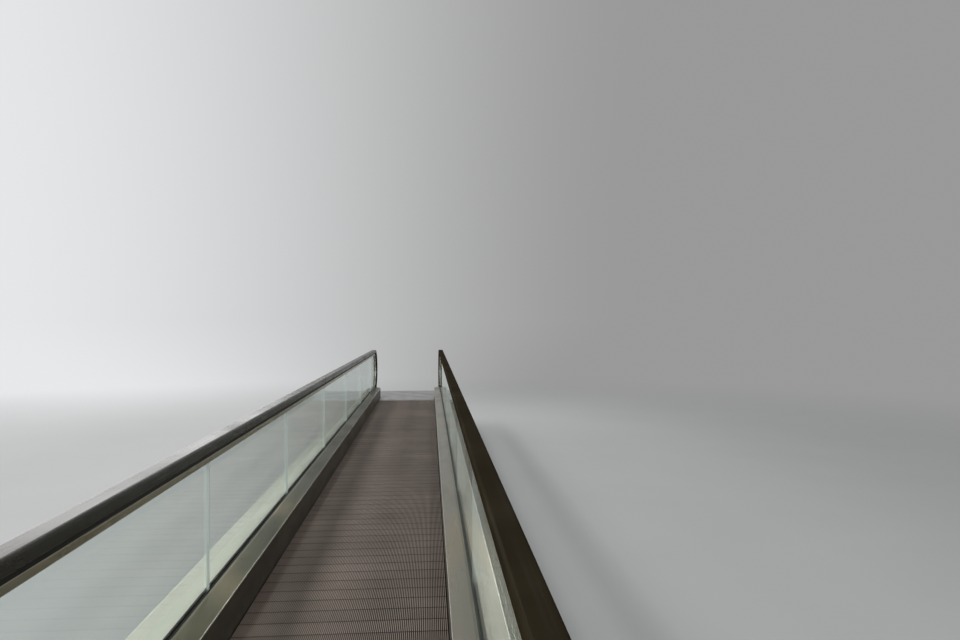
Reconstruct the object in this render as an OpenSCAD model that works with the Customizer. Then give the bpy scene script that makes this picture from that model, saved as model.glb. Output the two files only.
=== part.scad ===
// Moving walkway for a concourse: a level belt of ribbed pallets between two glass balustrades,
// carried by an open steel truss that stands on levelling feet.
// X runs across the walkway, +Y along the way people travel, +Z up.
// The origin is on the floor of the pit, midway along and midway across.
// Heights called h are measured from the tread, the plane that people stand on.

/* [Length] */
// Straight glass bays between the two newel panels
bay_count = 6; // [3:1:6]
// Length of one glass bay, joint to joint
bay_l = 1800; // [1500:50:2100]
// Length from the last bay to the centre of the newel
newel_l = 700; // [660:10:900]
// Length from the centre of the newel to the end of the truss
landing_l = 1100; // [900:10:1400]
// Length from the centre of the newel back to the comb line
comb_back = 350; // [300:10:450]
// How far the decks reach past the centre of the newel
deck_end_l = 60; // [40:5:80]

/* [Pallets] */
// Width of a pallet
pallet_w = 1000; // [800:10:1200]
// Chain pitch, which is also the pitch of the pallets
pallet_pitch = 133.3; // [120:0.1:140]
// Open joint between one pallet and the next
pallet_joint = 2; // [1:0.5:4]
// Thickness of the pallet's top
pallet_t = 16; // [14:1:20]
// Depth of the pallet with its cross ribs
pallet_depth = 42; // [34:1:46]
// Cleats across a pallet
cleat_count = 110; // [80:1:120]
// Width of a groove between cleats
groove_w = 5.4; // [4.5:0.1:6]
// Depth of a groove
groove_d = 10; // [9:0.5:12]

/* [Chain] */
// Distance from the tread down to the chain's pins
pin_drop = 75; // [72:1:90]
// Radius of a chain roller
roller_r = 30; // [24:0.5:32]
// Width of a chain roller
roller_w = 30; // [24:1:36]
// Radius of a chain pin
pin_r = 9; // [7:0.5:12]
// Height of a chain link plate
link_h = 30; // [24:1:34]
// Thickness of a chain link plate
link_t = 4; // [3:0.5:6]
// Distance from the pallet's edge out to the middle of a chain
chain_out = 45; // [42:1:52]
// Pallets on one half turn of the sprocket
turn_pallets = 4; // [4:1:4]
// Thickness of a sprocket
sprocket_t = 12; // [10:1:16]
// Clearance between a sprocket's tip and the next roller on the straight run
tip_gap = 1.2; // [1:0.1:8]
// Radius of the sprocket shaft
shaft_r = 40; // [30:1:50]
// Radius of the drive wheel on the far shaft
wheel_r = 145; // [120:5:160]
// Radius of the gearbox's pinion
pinion_r = 65; // [50:5:80]
// Distance from the end of the truss back to the gearbox's output
drive_back = 380; // [340:10:420]
// Radius of the gearbox's housing
gearbox_r = 150; // [120:10:160]
// Thickness of a track rail
rail_t = 5; // [4:0.5:8]

/* [Balustrade] */
// Distance from the pallet's edge out to the middle of a handrail
handrail_out = 123; // [120:1:140]
// Height of the handrail's top over the tread
handrail_h = 900; // [850:10:1000]
// Width of the handrail
handrail_w = 80; // [70:1:86]
// Rise of the handrail's top over the line that it bends on
handrail_top = 15; // [12:1:18]
// Depth of the handrail's lips under the line that it bends on
handrail_lip = 33; // [28:1:36]
// Wall of the handrail
handrail_t = 11; // [8:0.5:13]
// Depth under the deck's top at which the line that the handrail bends on goes in
inlet_drop = 55; // [52:1:75]
// Depth of the handrail's return run under the tread
return_drop = 160; // [150:1:175]
// Thickness of the glass
glass_t = 12; // [10:1:15]
// Open joint between two glass panels
glass_joint = 4; // [2:1:8]
// Height of the decks beside the glass
deck_h = 200; // [190:1:210]
// Height of the inner deck's lip over the tread
lip_h = 185; // [170:1:190]
// Thickness of the deck sheets
deck_t = 2.5; // [1.5:0.5:4]
// Thickness of the skirt sheets
skirt_t = 3; // [2:0.5:5]
// Running gap between a pallet and the skirt
skirt_gap = 4; // [2:0.5:4]
// Distance from the middle of a handrail out to the edge of the outer deck
deck_out = 170; // [160:1:200]

/* [Landing] */
// Height of the landing floor over the tread
floor_h = 20; // [16:1:26]
// Thickness of a floor cover
cover_t = 12; // [8:1:12]
// Width of a comb tooth
tooth_w = 3.2; // [2.5:0.1:3.6]
// Length of a comb tooth
tooth_l = 48; // [36:1:60]
// Comb segments across the walkway
comb_count = 5; // [4:1:6]

/* [Truss] */
// Height of the tread over the pit floor
tread_z = 650; // [630:10:900]
// Cross frames along the straight run
frame_count = 10; // [8:1:12]
// Size of a truss chord across its section
chord = 80; // [60:5:90]
// Wall of a truss chord, which is a square tube
chord_t = 6; // [4:0.5:10]
// Depth of the truss's top under the tread
truss_top = 20; // [20:1:30]
// Depth of the truss's bottom under the tread
truss_bottom = 560; // [555:5:600]
// Thickness of a post or diagonal along X
post_t = 50; // [40:5:60]
// Width of a post along Y
post_w = 60; // [40:5:80]
// Width of a diagonal along Y
brace_w = 70; // [50:5:80]
// Thickness of a cross frame's plate
frame_t = 8; // [6:1:12]
// Thickness of the end plates
end_t = 10; // [6:1:14]
// Width of a foot's base plate
foot_w = 110; // [100:5:120]
// Length of a foot's base plate
foot_l = 220; // [200:10:260]
// Distance between a foot's two anchor holes
anchor_pitch = 160; // [140:5:180]
// Radius of an anchor hole
anchor_r = 9; // [7:0.5:11]

/* [Hidden] */
$fn = 48;

// Clearances, and how far the pieces of one solid reach into each other
seat = 0.3;
comb_gap = 2;
bite = 1;

// Lengths along the walkway
turn_reach = 185;
bays_l = bay_count * bay_l;
newel_y = bays_l / 2 + newel_l;
base_y = newel_y + deck_end_l;
comb_y = newel_y - comb_back;
end_y = newel_y + landing_l;
straight_pallets = round(2 * (newel_y + turn_reach) / pallet_pitch) - 1;
turn_y = straight_pallets * pallet_pitch / 2;

// Sprocket and loop of pallets
step_a = 180 / turn_pallets;
pitch_r = pallet_pitch / 2 / sin(step_a / 2);
flat_r = pallet_pitch / 2 / tan(step_a / 2);
hub_h = -pin_drop - pitch_r;
return_pin_h = hub_h - pitch_r;
return_tread_h = return_pin_h - pin_drop;
tip_r = norm([pallet_pitch, pitch_r]) - roller_r - tip_gap;
link_x = roller_w / 2 + 2;
lug_l = 28;
lug_t = 14;
lug_drop = 12;
lug_clear = 3;

// Combs
cleat_pitch = pallet_w / cleat_count;
comb_l = 118;
comb_step = 38;
comb_under = 1.5;
comb_root = 4.7;
comb_back_l = 30;
comb_wall = 3;
comb_rest = comb_root + (floor_h - comb_root) * comb_step / (comb_l - comb_back_l) - comb_wall;
end_gap = 8;

// Widths
skirt_x = pallet_w / 2 + skirt_gap;
skirt_foot = 35;
chain_x = pallet_w / 2 + chain_out;
handrail_x = pallet_w / 2 + handrail_out;
half_w = handrail_x + deck_out;
truss_gap = 27;
truss_x = handrail_x + handrail_w / 2 + truss_gap;
glass_x = handrail_x - glass_t / 2;
gasket_t = 9;
lip_x = skirt_x - seat - deck_t;
inner_edge = glass_x - gasket_t - seat;
deck_shelf = 13;
shelf_x = inner_edge - deck_shelf;
outer_edge = glass_x + glass_t + gasket_t + seat;
deck_joint = 1;
deck_bend = 12;

// Drive
bearing_w = 50;
bearing_cap = 5;
bearing_fit = 0.05;
drive_y = end_y - drive_back;
drive_l = drive_y - turn_y;
wheel_x = (chain_x + link_x + link_t + truss_x - bearing_w) / 2;
wheel_t = 16;
drive_chain_t = 14;
box_x1 = wheel_x - 45;
box_x0 = box_x1 - 308;
flange_t = 30;
motor_l = 350;
bed_t = 15;
bed_h = -truss_bottom + chord + bed_t;
bed_half = gearbox_r + 60;

// Handrail loop
handrail_line = handrail_h - handrail_top;
inlet_h = deck_h - inlet_drop;
newel_r = (handrail_line - inlet_h) / 2;
newel_h = inlet_h + newel_r;
inlet_l = 50;
// The dip under the deck is two equal bends, 3 along for each 4 down where they meet
dip = inlet_h + return_drop;
dip_cos = 3 / 5;
dip_sin = 4 / 5;
dip_r = dip / (2 * (1 - dip_cos));
dip_y0 = newel_y - inlet_l;
dip_y1 = dip_y0 - 2 * dip_r * dip_sin;
rest_r = 18;

// Section of the handrail
handrail_r = 13;
lip_r = 9;
lip_gap = 16;
lip_t = 13;
lip_slope = 2;
cavity_top = 1;

// Window for the handrail at the deck's end, and the plate that it is cut in
inlet_top = deck_h - 6;
inlet_bottom = inlet_h - handrail_top - 3;
inlet_half = handrail_w / 2 + 4;
inlet_t = 13;
cap_t = 3;

// Handrail guide and glass
guide_depth = 85;
guide_grip = 15;
guide_w = 34;
glass_top_r = newel_r - guide_depth + guide_grip;
guide_end_a = -acos((deck_end_l + cap_t + inlet_t + 20) / newel_r);
clamp_y = dip_y0 - dip_r * dip_sin - 5;
clamp_bottom = 60;
clamp_top = deck_h - 14;
clamp_wall = 16;
clamp_floor = 30;
slot_clear = 10;

// Track and truss
rail_h = -pin_drop - roller_r - seat;
return_rail_h = return_pin_h - roller_r - seat;
rail_in = roller_w / 2 + lug_clear;
rail_out = roller_w / 2 + link_t + 7;
rail_end = turn_y - sqrt(pow(tip_r, 2) - pow(pitch_r - roller_r - seat - rail_t, 2)) - 5;
rail_lip = 20;
top_beam = 40;
frame_bottom = return_pin_h + roller_r + 13;
frame_step = bays_l / (frame_count - 1);
frame_ys = [for (i = [0 : frame_count - 1]) -bays_l / 2 + i * frame_step];
post_ys = concat([-end_y + post_w / 2, -turn_y], frame_ys, [turn_y, end_y - post_w / 2]);
foot_ys = [-turn_y, frame_ys[floor(frame_count / 3)], -frame_ys[floor(frame_count / 3)], turn_y];
pan_top = return_tread_h - 17;
pan_end = drive_y - bed_half - 20;

// Points along an arc, from angle a0 to a1 in n steps
function arc(c, r, a0, a1, n) =
    [for (i = [0 : n]) let (a = a0 + (a1 - a0) * i / n) [c[0] + r * cos(a), c[1] + r * sin(a)]];

// The same points in reverse order on the other side of the middle
function mirrored(points) =
    [for (i = [len(points) - 1 : -1 : 0]) [-points[i][0], points[i][1]]];

// Everything that is measured from the tread
module on_tread() {
    translate([0, 0, tread_z])
        children();
}

// The children and their mirror image on the other side of the walkway
module both_sides() {
    for (side = [0, 1])
        mirror([side, 0, 0])
            children();
}

// The children and their mirror image at the other end of the walkway
module both_ends() {
    for (end = [0, 1])
        mirror([0, end, 0])
            children();
}

// A profile drawn across the walkway, as x and h, that runs along it from y0 to y1
module run_along(y0, y1) {
    translate([0, y1, 0])
        rotate([90, 0, 0])
            linear_extrude(y1 - y0)
                children();
}

// An outline drawn along the walkway, as y and h, that reaches across it from x0 to x1
module reach_across(x0, x1) {
    translate([x0, 0, 0])
        rotate([90, 0, 90])
            linear_extrude(x1 - x0)
                children();
}

// A box given by its two corners
module block(low, high) {
    translate(low)
        cube(high - low);
}

// Truss

// One panel's diagonal, between two posts
module brace(y0, y1) {
    bottom = -truss_bottom + chord - bite;
    top = -truss_top - chord + bite;
    polygon([[y0, bottom], [y0 + brace_w, bottom], [y1, top], [y1 - brace_w, top]]);
}

module truss_side() {
    color([0.36, 0.38, 0.40])
    on_tread() {
        reach_across(truss_x, truss_x + post_t)
            for (i = [0 : len(post_ys) - 1]) {
                translate([post_ys[i] - post_w / 2, -truss_bottom + chord - bite])
                    square([post_w, truss_bottom - truss_top - 2 * (chord - bite)]);
                if (i < len(post_ys) - 1) {
                    if (post_ys[i] < -bite)
                        brace(post_ys[i], post_ys[i + 1]);
                    else
                        translate([post_ys[i] + post_ys[i + 1], 0])
                            mirror([1, 0])
                                brace(post_ys[i], post_ys[i + 1]);
                }
            }
        for (h = [-truss_top - chord, -truss_bottom])
            difference() {
                block([truss_x, -end_y, h], [truss_x + chord, end_y, h + chord]);
                block([truss_x + chord_t, -end_y - 1, h + chord_t],
                      [truss_x + chord - chord_t, end_y + 1, h + chord - chord_t]);
            }
    }
}

module truss_side_right() {
    truss_side();
}

module truss_side_left() {
    mirror([1, 0, 0])
        truss_side();
}

// Plates that close the two ends of the truss
module truss_end_plates() {
    color([0.36, 0.38, 0.40])
    on_tread()
        both_ends()
            block([-truss_x, end_y - end_t, -truss_bottom], [truss_x, end_y, -truss_top]);
}

// Beams between the bottom chords, under the oil pan
module truss_bottom_beams() {
    wall = 6;
    color([0.36, 0.38, 0.40])
    on_tread()
        for (y = post_ys)
            if (abs(y) < turn_y + 1)
                difference() {
                    block([-truss_x, y - post_w / 2, -truss_bottom],
                          [truss_x, y + post_w / 2, pan_top - deck_t]);
                    block([-truss_x - 1, y - post_w / 2 + wall, -truss_bottom - 1],
                          [truss_x + 1, y + post_w / 2 - wall, pan_top - deck_t - wall]);
                }
}

// One levelling foot: base plate, threaded stud and head plate
module foot() {
    stud_r = 16;
    nut_r = 28;
    nut_t = 20;
    plate_t = 15;
    head_w = chord - 10;
    gap = tread_z - truss_bottom;
    difference() {
        translate([-foot_w / 2, -foot_l / 2, 0])
            cube([foot_w, foot_l, plate_t]);
        for (y = [-anchor_pitch / 2, anchor_pitch / 2])
            translate([0, y, -1])
                cylinder(h = plate_t + 2, r = anchor_r);
    }
    cylinder(h = gap, r = stud_r);
    for (z = [plate_t, gap - plate_t - nut_t])
        translate([0, 0, z])
            cylinder(h = nut_t, r = nut_r, $fn = 6);
    translate([-head_w / 2, -head_w / 2, gap - plate_t])
        cube([head_w, head_w, plate_t]);
}

module support_feet() {
    color([0.55, 0.56, 0.57])
    both_sides()
        for (y = foot_ys)
            translate([truss_x + chord / 2, y, 0])
                foot();
}

// Shallow tray that catches oil and dirt under the return run
module oil_pan() {
    rim = 15;
    w = truss_x - 5;
    color([0.50, 0.51, 0.50])
    on_tread()
        difference() {
            block([-w, -pan_end, pan_top - deck_t], [w, pan_end, pan_top + rim]);
            block([-w + deck_t, -pan_end + deck_t, pan_top],
                  [w - deck_t, pan_end - deck_t, pan_top + rim + 1]);
        }
}

// Portal plates that hang between the truss sides and carry the four track rails
module cross_frames() {
    hook_in = chain_x - rail_in;
    hook_out = chain_x + rail_out + 4;
    rail_under = rail_h - rail_t;
    hook_top = return_rail_h - rail_t;
    hook_bottom = hook_top - 30;
    window_x = hook_in - 95;
    slot_x0 = handrail_x - handrail_w / 2 - slot_clear;
    slot_x1 = handrail_x + handrail_w / 2 + slot_clear;
    slot_up = handrail_lip + 2;
    slot_down = handrail_top + 2 * rest_r + seat + 4;
    half = [[truss_x, rail_under], [truss_x, hook_bottom], [hook_in, hook_bottom],
            [hook_in, hook_top], [hook_out, hook_top], [hook_out, frame_bottom]];
    color([0.50, 0.50, 0.47])
    on_tread()
        for (y = frame_ys)
            difference() {
                run_along(y - frame_t / 2, y + frame_t / 2)
                    polygon(concat(half, mirrored(half)));
                block([-window_x, y - frame_t, frame_bottom + top_beam],
                      [window_x, y + frame_t, rail_under - top_beam]);
                both_sides()
                    block([slot_x0, y - frame_t, -return_drop - slot_down],
                          [slot_x1, y + frame_t, -return_drop + slot_up]);
            }
}

// One track rail: a flat bar with an upstand that keeps the rollers in
module track(h, y1) {
    x0 = chain_x - rail_in;
    x1 = chain_x + rail_out;
    wall = 3;
    run_along(-y1, y1)
        polygon([[x0, h], [x0, h - rail_t], [x1 + wall, h - rail_t],
                 [x1 + wall, h + rail_lip], [x1, h + rail_lip], [x1, h]]);
}

module upper_tracks() {
    color([0.70, 0.71, 0.72])
    on_tread()
        both_sides()
            track(rail_h, rail_end);
}

module return_tracks() {
    color([0.70, 0.71, 0.72])
    on_tread()
        both_sides()
            track(return_rail_h, turn_y - 5);
}

// Pallets

// Section of a pallet along the walkway, with two cross ribs under its top
module pallet_section() {
    end = (pallet_pitch - pallet_joint) / 2;
    rib_out = end - 16;
    rib_in = rib_out - 14;
    half = [[end, 0], [end, -pallet_t], [rib_out + 4, -pallet_t - 2], [rib_out, -pallet_depth],
            [rib_in, -pallet_depth], [rib_in - 6, -pallet_t]];
    polygon(concat(half, mirrored(half)));
}

// Lug at each end of a pallet, bolted to the side of the chain
module pallet_lugs() {
    edge = pallet_w / 2;
    out = chain_x - link_x - link_t - seat;
    top = -skirt_foot - lug_clear;
    low = -pin_drop - lug_drop;
    both_sides()
        run_along(-lug_l, lug_l)
            polygon([[edge - lug_t, -pallet_t], [edge, -pallet_t], [edge, top],
                     [out, top], [out, low], [edge - lug_t, low]]);
}

module pallet() {
    reach_across(-pallet_w / 2, pallet_w / 2)
        pallet_section();
    pallet_lugs();
}

// A pallet with its cleats cut through, as it meets the comb
module cleated_pallet() {
    flank = 0.4;
    intersection() {
        reach_across(-pallet_w / 2, pallet_w / 2)
            pallet_section();
        run_along(-pallet_pitch, pallet_pitch)
            polygon(concat(
                [[pallet_w / 2 + 1, -pallet_depth - 5], [-pallet_w / 2 - 1, -pallet_depth - 5],
                 [-pallet_w / 2 - 1, -groove_d]],
                [for (i = [0 : cleat_count - 1])
                    let (c = -pallet_w / 2 + (i + 0.5) * cleat_pitch, w = (cleat_pitch - groove_w) / 2)
                        each [[c - w - flank, -groove_d], [c - w, 1],
                              [c + w, 1], [c + w + flank, -groove_d]]],
                [[pallet_w / 2 + 1, -groove_d]]));
    }
    pallet_lugs();
}

// Index of the first pallet that the far comb reaches
comb_index = floor((comb_y - tooth_l + turn_y) / pallet_pitch) - 1;

function meets_comb(i) =
    (i >= comb_index && i <= comb_index + 2)
    || (straight_pallets - 1 - i >= comb_index && straight_pallets - 1 - i <= comb_index + 2);

function pallet_y(i) = -turn_y + (i + 0.5) * pallet_pitch;

module pallets_upper() {
    color([0.52, 0.47, 0.43])
    on_tread()
        for (i = [0 : straight_pallets - 1])
            if (!meets_comb(i))
                translate([0, pallet_y(i), 0])
                    pallet();
}

module pallets_at_combs() {
    color([0.52, 0.47, 0.43])
    on_tread()
        for (i = [0 : straight_pallets - 1])
            if (meets_comb(i))
                translate([0, pallet_y(i), 0])
                    cleated_pallet();
}

module pallets_return() {
    color([0.52, 0.47, 0.43])
    on_tread()
        for (i = [0 : straight_pallets - 1])
            translate([0, pallet_y(i), return_tread_h])
                rotate([180, 0, 0])
                    pallet();
}

// The four pallets that follow the sprocket down to the return run
module pallets_turning() {
    color([0.52, 0.47, 0.43])
    on_tread()
        for (i = [0 : turn_pallets - 1])
            translate([0, turn_y, hub_h])
                rotate([-(i + 0.5) * step_a, 0, 0])
                    translate([0, 0, flat_r + pin_drop])
                        pallet();
}

module pallets_turning_far() {
    pallets_turning();
}

module pallets_turning_near() {
    mirror([0, 1, 0])
        pallets_turning();
}

// Chain and sprockets

// Outline of the chain's loop, grown outward by d from the line of its pins
module loop_outline(d) {
    translate([-turn_y, hub_h])
        circle(r = pitch_r + d, $fn = 96);
    translate([turn_y, hub_h])
        circle(r = pitch_r + d, $fn = 96);
    translate([-turn_y, hub_h - pitch_r - d])
        square([2 * turn_y, 2 * (pitch_r + d)]);
}

// One roller on its pin, lying across the walkway
module chain_roller() {
    pin_x = link_x + bite / 2;
    half_w = roller_w / 2;
    rotate([0, 90, 0])
        rotate_extrude()
            polygon([[0, -pin_x], [pin_r, -pin_x], [pin_r, -half_w], [roller_r, -half_w],
                     [roller_r, half_w], [pin_r, half_w], [pin_r, pin_x], [0, pin_x]]);
}

module pallet_chain() {
    color([0.25, 0.25, 0.26])
    on_tread()
        union() {
            for (x = [chain_x - link_x - link_t, chain_x + link_x])
                reach_across(x, x + link_t)
                    difference() {
                        loop_outline(link_h / 2);
                        loop_outline(-link_h / 2);
                    }
            for (i = [0 : straight_pallets])
                for (h = [-pin_drop, return_pin_h])
                    translate([chain_x, -turn_y + i * pallet_pitch, h])
                        chain_roller();
            for (i = [1 : turn_pallets - 1])
                for (end = [-1, 1])
                    translate([chain_x, end * (turn_y + pitch_r * sin(i * step_a)),
                               hub_h + pitch_r * cos(i * step_a)])
                        chain_roller();
        }
}

module pallet_chain_right() {
    pallet_chain();
}

module pallet_chain_left() {
    mirror([1, 0, 0])
        pallet_chain();
}

// A shaft with a sprocket at each end, whose seats hold the chain's rollers
module sprocket_shaft() {
    hub_r = shaft_r + 25;
    hub_w = 50;
    color([0.45, 0.46, 0.48])
    on_tread()
        translate([0, turn_y, hub_h]) {
            reach_across(-truss_x + bearing_cap, truss_x - bearing_cap)
                circle(r = shaft_r);
            both_sides() {
                reach_across(chain_x - sprocket_t / 2, chain_x + sprocket_t / 2)
                    difference() {
                        circle(r = tip_r);
                        for (i = [0 : 2 * turn_pallets - 1])
                            rotate(i * step_a)
                                translate([pitch_r, 0])
                                    circle(r = roller_r + seat);
                    }
                reach_across(chain_x - hub_w / 2, chain_x + hub_w / 2)
                    circle(r = hub_r);
            }
        }
}

module sprocket_shaft_far() {
    sprocket_shaft();
    color([0.45, 0.46, 0.48])
    on_tread()
        translate([0, turn_y, hub_h])
            drive_wheel();
}

module sprocket_shaft_near() {
    mirror([0, 1, 0])
        sprocket_shaft();
}

// Drive

// The large wheel of the drive, fixed on the far sprocket shaft
module drive_wheel() {
    holes = 6;
    reach_across(wheel_x - wheel_t / 2, wheel_x + wheel_t / 2)
        difference() {
            circle(r = wheel_r);
            for (i = [0 : holes - 1])
                rotate(i * 360 / holes)
                    translate([wheel_r * 0.62, 0])
                        circle(r = wheel_r * 0.2);
        }
    reach_across(wheel_x - wheel_t, wheel_x + wheel_t)
        circle(r = shaft_r + 15);
}

// Chain from the gearbox to the wheel: two straight runs and the bends round both wheels
module drive_chain() {
    half_w = wheel_t / 2 + 3;
    tilt = asin((wheel_r - pinion_r) / drive_l);
    color([0.25, 0.25, 0.26])
    on_tread()
        reach_across(wheel_x - half_w, wheel_x + half_w)
            difference() {
                drive_loop(drive_chain_t, tilt);
                drive_loop(0, tilt);
            }
}

// Outline round the two wheels, grown outward by d
module drive_loop(d, tilt) {
    polygon(concat(
        arc([turn_y, hub_h], wheel_r + seat + d, 90 - tilt, 270 + tilt, 36),
        arc([drive_y, hub_h], pinion_r + seat + d, tilt - 90, 90 - tilt, 20)));
}

// Gearbox with its output pinion, and the motor flanged to it
module drive_unit() {
    y = drive_y;
    base_l = gearbox_r + 30;
    base_t = 20;
    waist = gearbox_r - 31;
    motor_r = 105;
    fins = 9;
    fin_step = 34;
    fin_t = 8;
    fin_h = 14;
    color([0.26, 0.34, 0.40])
    on_tread() {
        difference() {
            reach_across(box_x0, box_x1)
                polygon(concat(
                    [[y + base_l, bed_h], [y + base_l, bed_h + base_t]],
                    arc([y, hub_h], gearbox_r, 0, 180, 12),
                    [[y - base_l, bed_h + base_t], [y - base_l, bed_h]]));
            for (side = [-1, 1])
                translate([0, y + side * base_l, 0])
                    block([box_x0 + 40, waist - base_l, bed_h + base_t],
                          [box_x1 - 40, base_l - waist, hub_h - 40]);
        }
        translate([0, y, hub_h]) {
            reach_across(box_x1 - bite, wheel_x + wheel_t)
                circle(r = 28);
            reach_across(wheel_x - wheel_t / 2, wheel_x + wheel_t / 2)
                circle(r = pinion_r);
            reach_across(box_x0 - flange_t, box_x0 + bite)
                circle(r = motor_r + 30);
            reach_across(box_x0 - flange_t - motor_l, box_x0 - flange_t + bite)
                circle(r = motor_r);
            for (i = [1 : fins])
                reach_across(box_x0 - flange_t - i * fin_step - fin_t,
                             box_x0 - flange_t - i * fin_step)
                    circle(r = motor_r + fin_h);
        }
    }
}

// Two beams between the bottom chords and the plate on them that carries the drive
module drive_bedplate() {
    y = drive_y;
    beam_w = 70;
    wall = 8;
    plate_x0 = box_x0 - flange_t - motor_l - 70;
    plate_x1 = truss_x - 30;
    color([0.36, 0.38, 0.40])
    on_tread() {
        for (dy = [-bed_half + beam_w / 2, bed_half - beam_w / 2])
            difference() {
                block([-truss_x, y + dy - beam_w / 2, -truss_bottom],
                      [truss_x, y + dy + beam_w / 2, bed_h - bed_t]);
                block([-truss_x - 1, y + dy - beam_w / 2 + wall, -truss_bottom + wall],
                      [truss_x + 1, y + dy + beam_w / 2 + 1, bed_h - bed_t - wall]);
            }
        block([plate_x0, y - bed_half, bed_h - bed_t], [plate_x1, y + bed_half, bed_h]);
    }
}

// Bearing blocks that hold the shafts on the truss posts
module shaft_bearings() {
    r = shaft_r + 35;
    base = r + 10;
    color([0.26, 0.34, 0.40])
    on_tread()
        both_ends()
            both_sides()
                difference() {
                    reach_across(truss_x - bearing_w, truss_x) {
                        translate([turn_y, hub_h])
                            circle(r = r);
                        translate([turn_y - r, hub_h - base])
                            square([2 * r, base]);
                    }
                    reach_across(truss_x - bearing_w - 1, truss_x - bearing_cap)
                        translate([turn_y, hub_h])
                            circle(r = shaft_r + bearing_fit);
                }
}

// Landings

// Frame on the truss that the floor covers lie in
module landing_frames() {
    bar = chord - 20;
    under = floor_h - cover_t;
    out = truss_x + chord;
    start = base_y + end_gap;
    color([0.60, 0.61, 0.62])
    on_tread()
        both_ends()
            union() {
                both_sides()
                    block([truss_x, start, -truss_top], [out, end_y, under]);
                block([-out, end_y - bar, -truss_top], [out, end_y, under]);
                block([-out, start, comb_gap], [out, start + bar, under]);
            }
}

module floor_cover() {
    joint = 3;
    out = truss_x + chord;
    start = base_y + end_gap;
    l = (end_y - start - joint) / 2;
    for (i = [0, 1])
        block([-out, start + i * (l + joint), floor_h - cover_t],
              [out, start + i * (l + joint) + l, floor_h]);
}

module floor_covers_far() {
    color([0.66, 0.67, 0.68])
    on_tread()
        floor_cover();
}

module floor_covers_near() {
    color([0.66, 0.67, 0.68])
    on_tread()
        mirror([0, 1, 0])
            floor_cover();
}

// Plates between the skirts that carry the combs and cover the last pallets
module comb_plates() {
    rest = comb_rest - seat;
    front = comb_y + comb_step + seat;
    step = comb_y + comb_l + seat;
    back = base_y + end_gap - seat;
    color([0.70, 0.71, 0.72])
    on_tread()
        both_ends()
            reach_across(-pallet_w / 2, pallet_w / 2)
                polygon([[front, comb_gap], [front, rest], [step, rest],
                         [step, floor_h], [back, floor_h], [back, comb_gap]]);
}

// Comb segments whose teeth run in the grooves between the cleats
module comb_segments() {
    body = [[0, comb_under], [comb_step, comb_under], [comb_step, comb_rest],
            [comb_l, comb_rest], [comb_l, floor_h], [comb_l - comb_back_l, floor_h],
            [0, comb_root]];
    tooth = [[-tooth_l, -5], [-tooth_l + 4, -2], [2, comb_root + seat], [2, comb_under + 0.5],
             [0, comb_under], [-2, -groove_d + 2], [-tooth_l + 6, -groove_d + 2]];
    teeth = cleat_count / comb_count;
    joint = 1;
    color([0.70, 0.70, 0.69])
    on_tread()
        translate([0, comb_y, 0])
            for (i = [0 : comb_count - 1])
                let (first = ceil(i * teeth), last = ceil((i + 1) * teeth) - 1)
                    union() {
                        reach_across(
                            -pallet_w / 2 + max(0, first - 0.5) * cleat_pitch + joint / 2,
                            -pallet_w / 2 + min(cleat_count, last + 0.5) * cleat_pitch - joint / 2)
                            polygon(body);
                        for (j = [max(1, first) : last])
                            reach_across(-pallet_w / 2 + j * cleat_pitch - tooth_w / 2,
                                         -pallet_w / 2 + j * cleat_pitch + tooth_w / 2)
                                polygon(tooth);
                    }
}

module comb_segments_far() {
    comb_segments();
}

module comb_segments_near() {
    mirror([0, 1, 0])
        comb_segments();
}

// Balustrade

// Height of the underside of the inner deck's slope at x
function inner_deck_under(x) =
    min(deck_h, lip_h + (deck_h - lip_h) * (x - lip_x) / (shelf_x - lip_x)) - deck_t;

// Brackets on the truss that carry the glass clamp, the skirt and the decks
module balustrade_brackets() {
    inner = skirt_x + skirt_t + seat;
    outer = half_w - deck_t - seat;
    arm = 30;
    beam = clamp_bottom - 40;
    under = deck_h - deck_t - seat;
    color([0.45, 0.46, 0.48])
    on_tread()
        both_sides()
            for (y = frame_ys)
                run_along(y - frame_t / 2, y + frame_t / 2)
                    polygon([[inner, beam], [truss_x, beam], [truss_x, -truss_top],
                             [truss_x + chord, -truss_top], [truss_x + chord, beam], [outer, beam],
                             [outer, under - deck_bend], [outer - deck_bend, under],
                             [outer - arm, under], [outer - arm, clamp_bottom],
                             [inner + arm, clamp_bottom],
                             [inner + arm, inner_deck_under(inner + arm) - seat],
                             [inner, inner_deck_under(inner) - seat]]);
}

// Skirt panels beside the pallets
module skirt() {
    flange = 14;
    top = inner_deck_under(skirt_x) - seat;
    color([0.40, 0.39, 0.34])
    on_tread()
        run_along(-base_y, base_y)
            polygon([[skirt_x, top], [skirt_x, -skirt_foot], [skirt_x + flange, -skirt_foot],
                     [skirt_x + flange, skirt_t - skirt_foot], [skirt_x + skirt_t, skirt_t - skirt_foot],
                     [skirt_x + skirt_t, top]]);
}

module skirt_right() {
    skirt();
}

module skirt_left() {
    mirror([1, 0, 0])
        skirt();
}

// Ends of the deck sheets: two bays to a sheet, with joints in the middle of bays
deck_ys = concat(
    [-base_y],
    [for (y = [-bays_l / 2 + 1.5 * bay_l : 2 * bay_l : bays_l / 2]) y],
    [base_y]);

// The children's profile, run along the walkway as separate sheets
module deck_sheets() {
    for (i = [0 : len(deck_ys) - 2])
        run_along(deck_ys[i] + (i > 0 ? deck_joint : 0), deck_ys[i + 1])
            children();
}

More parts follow.
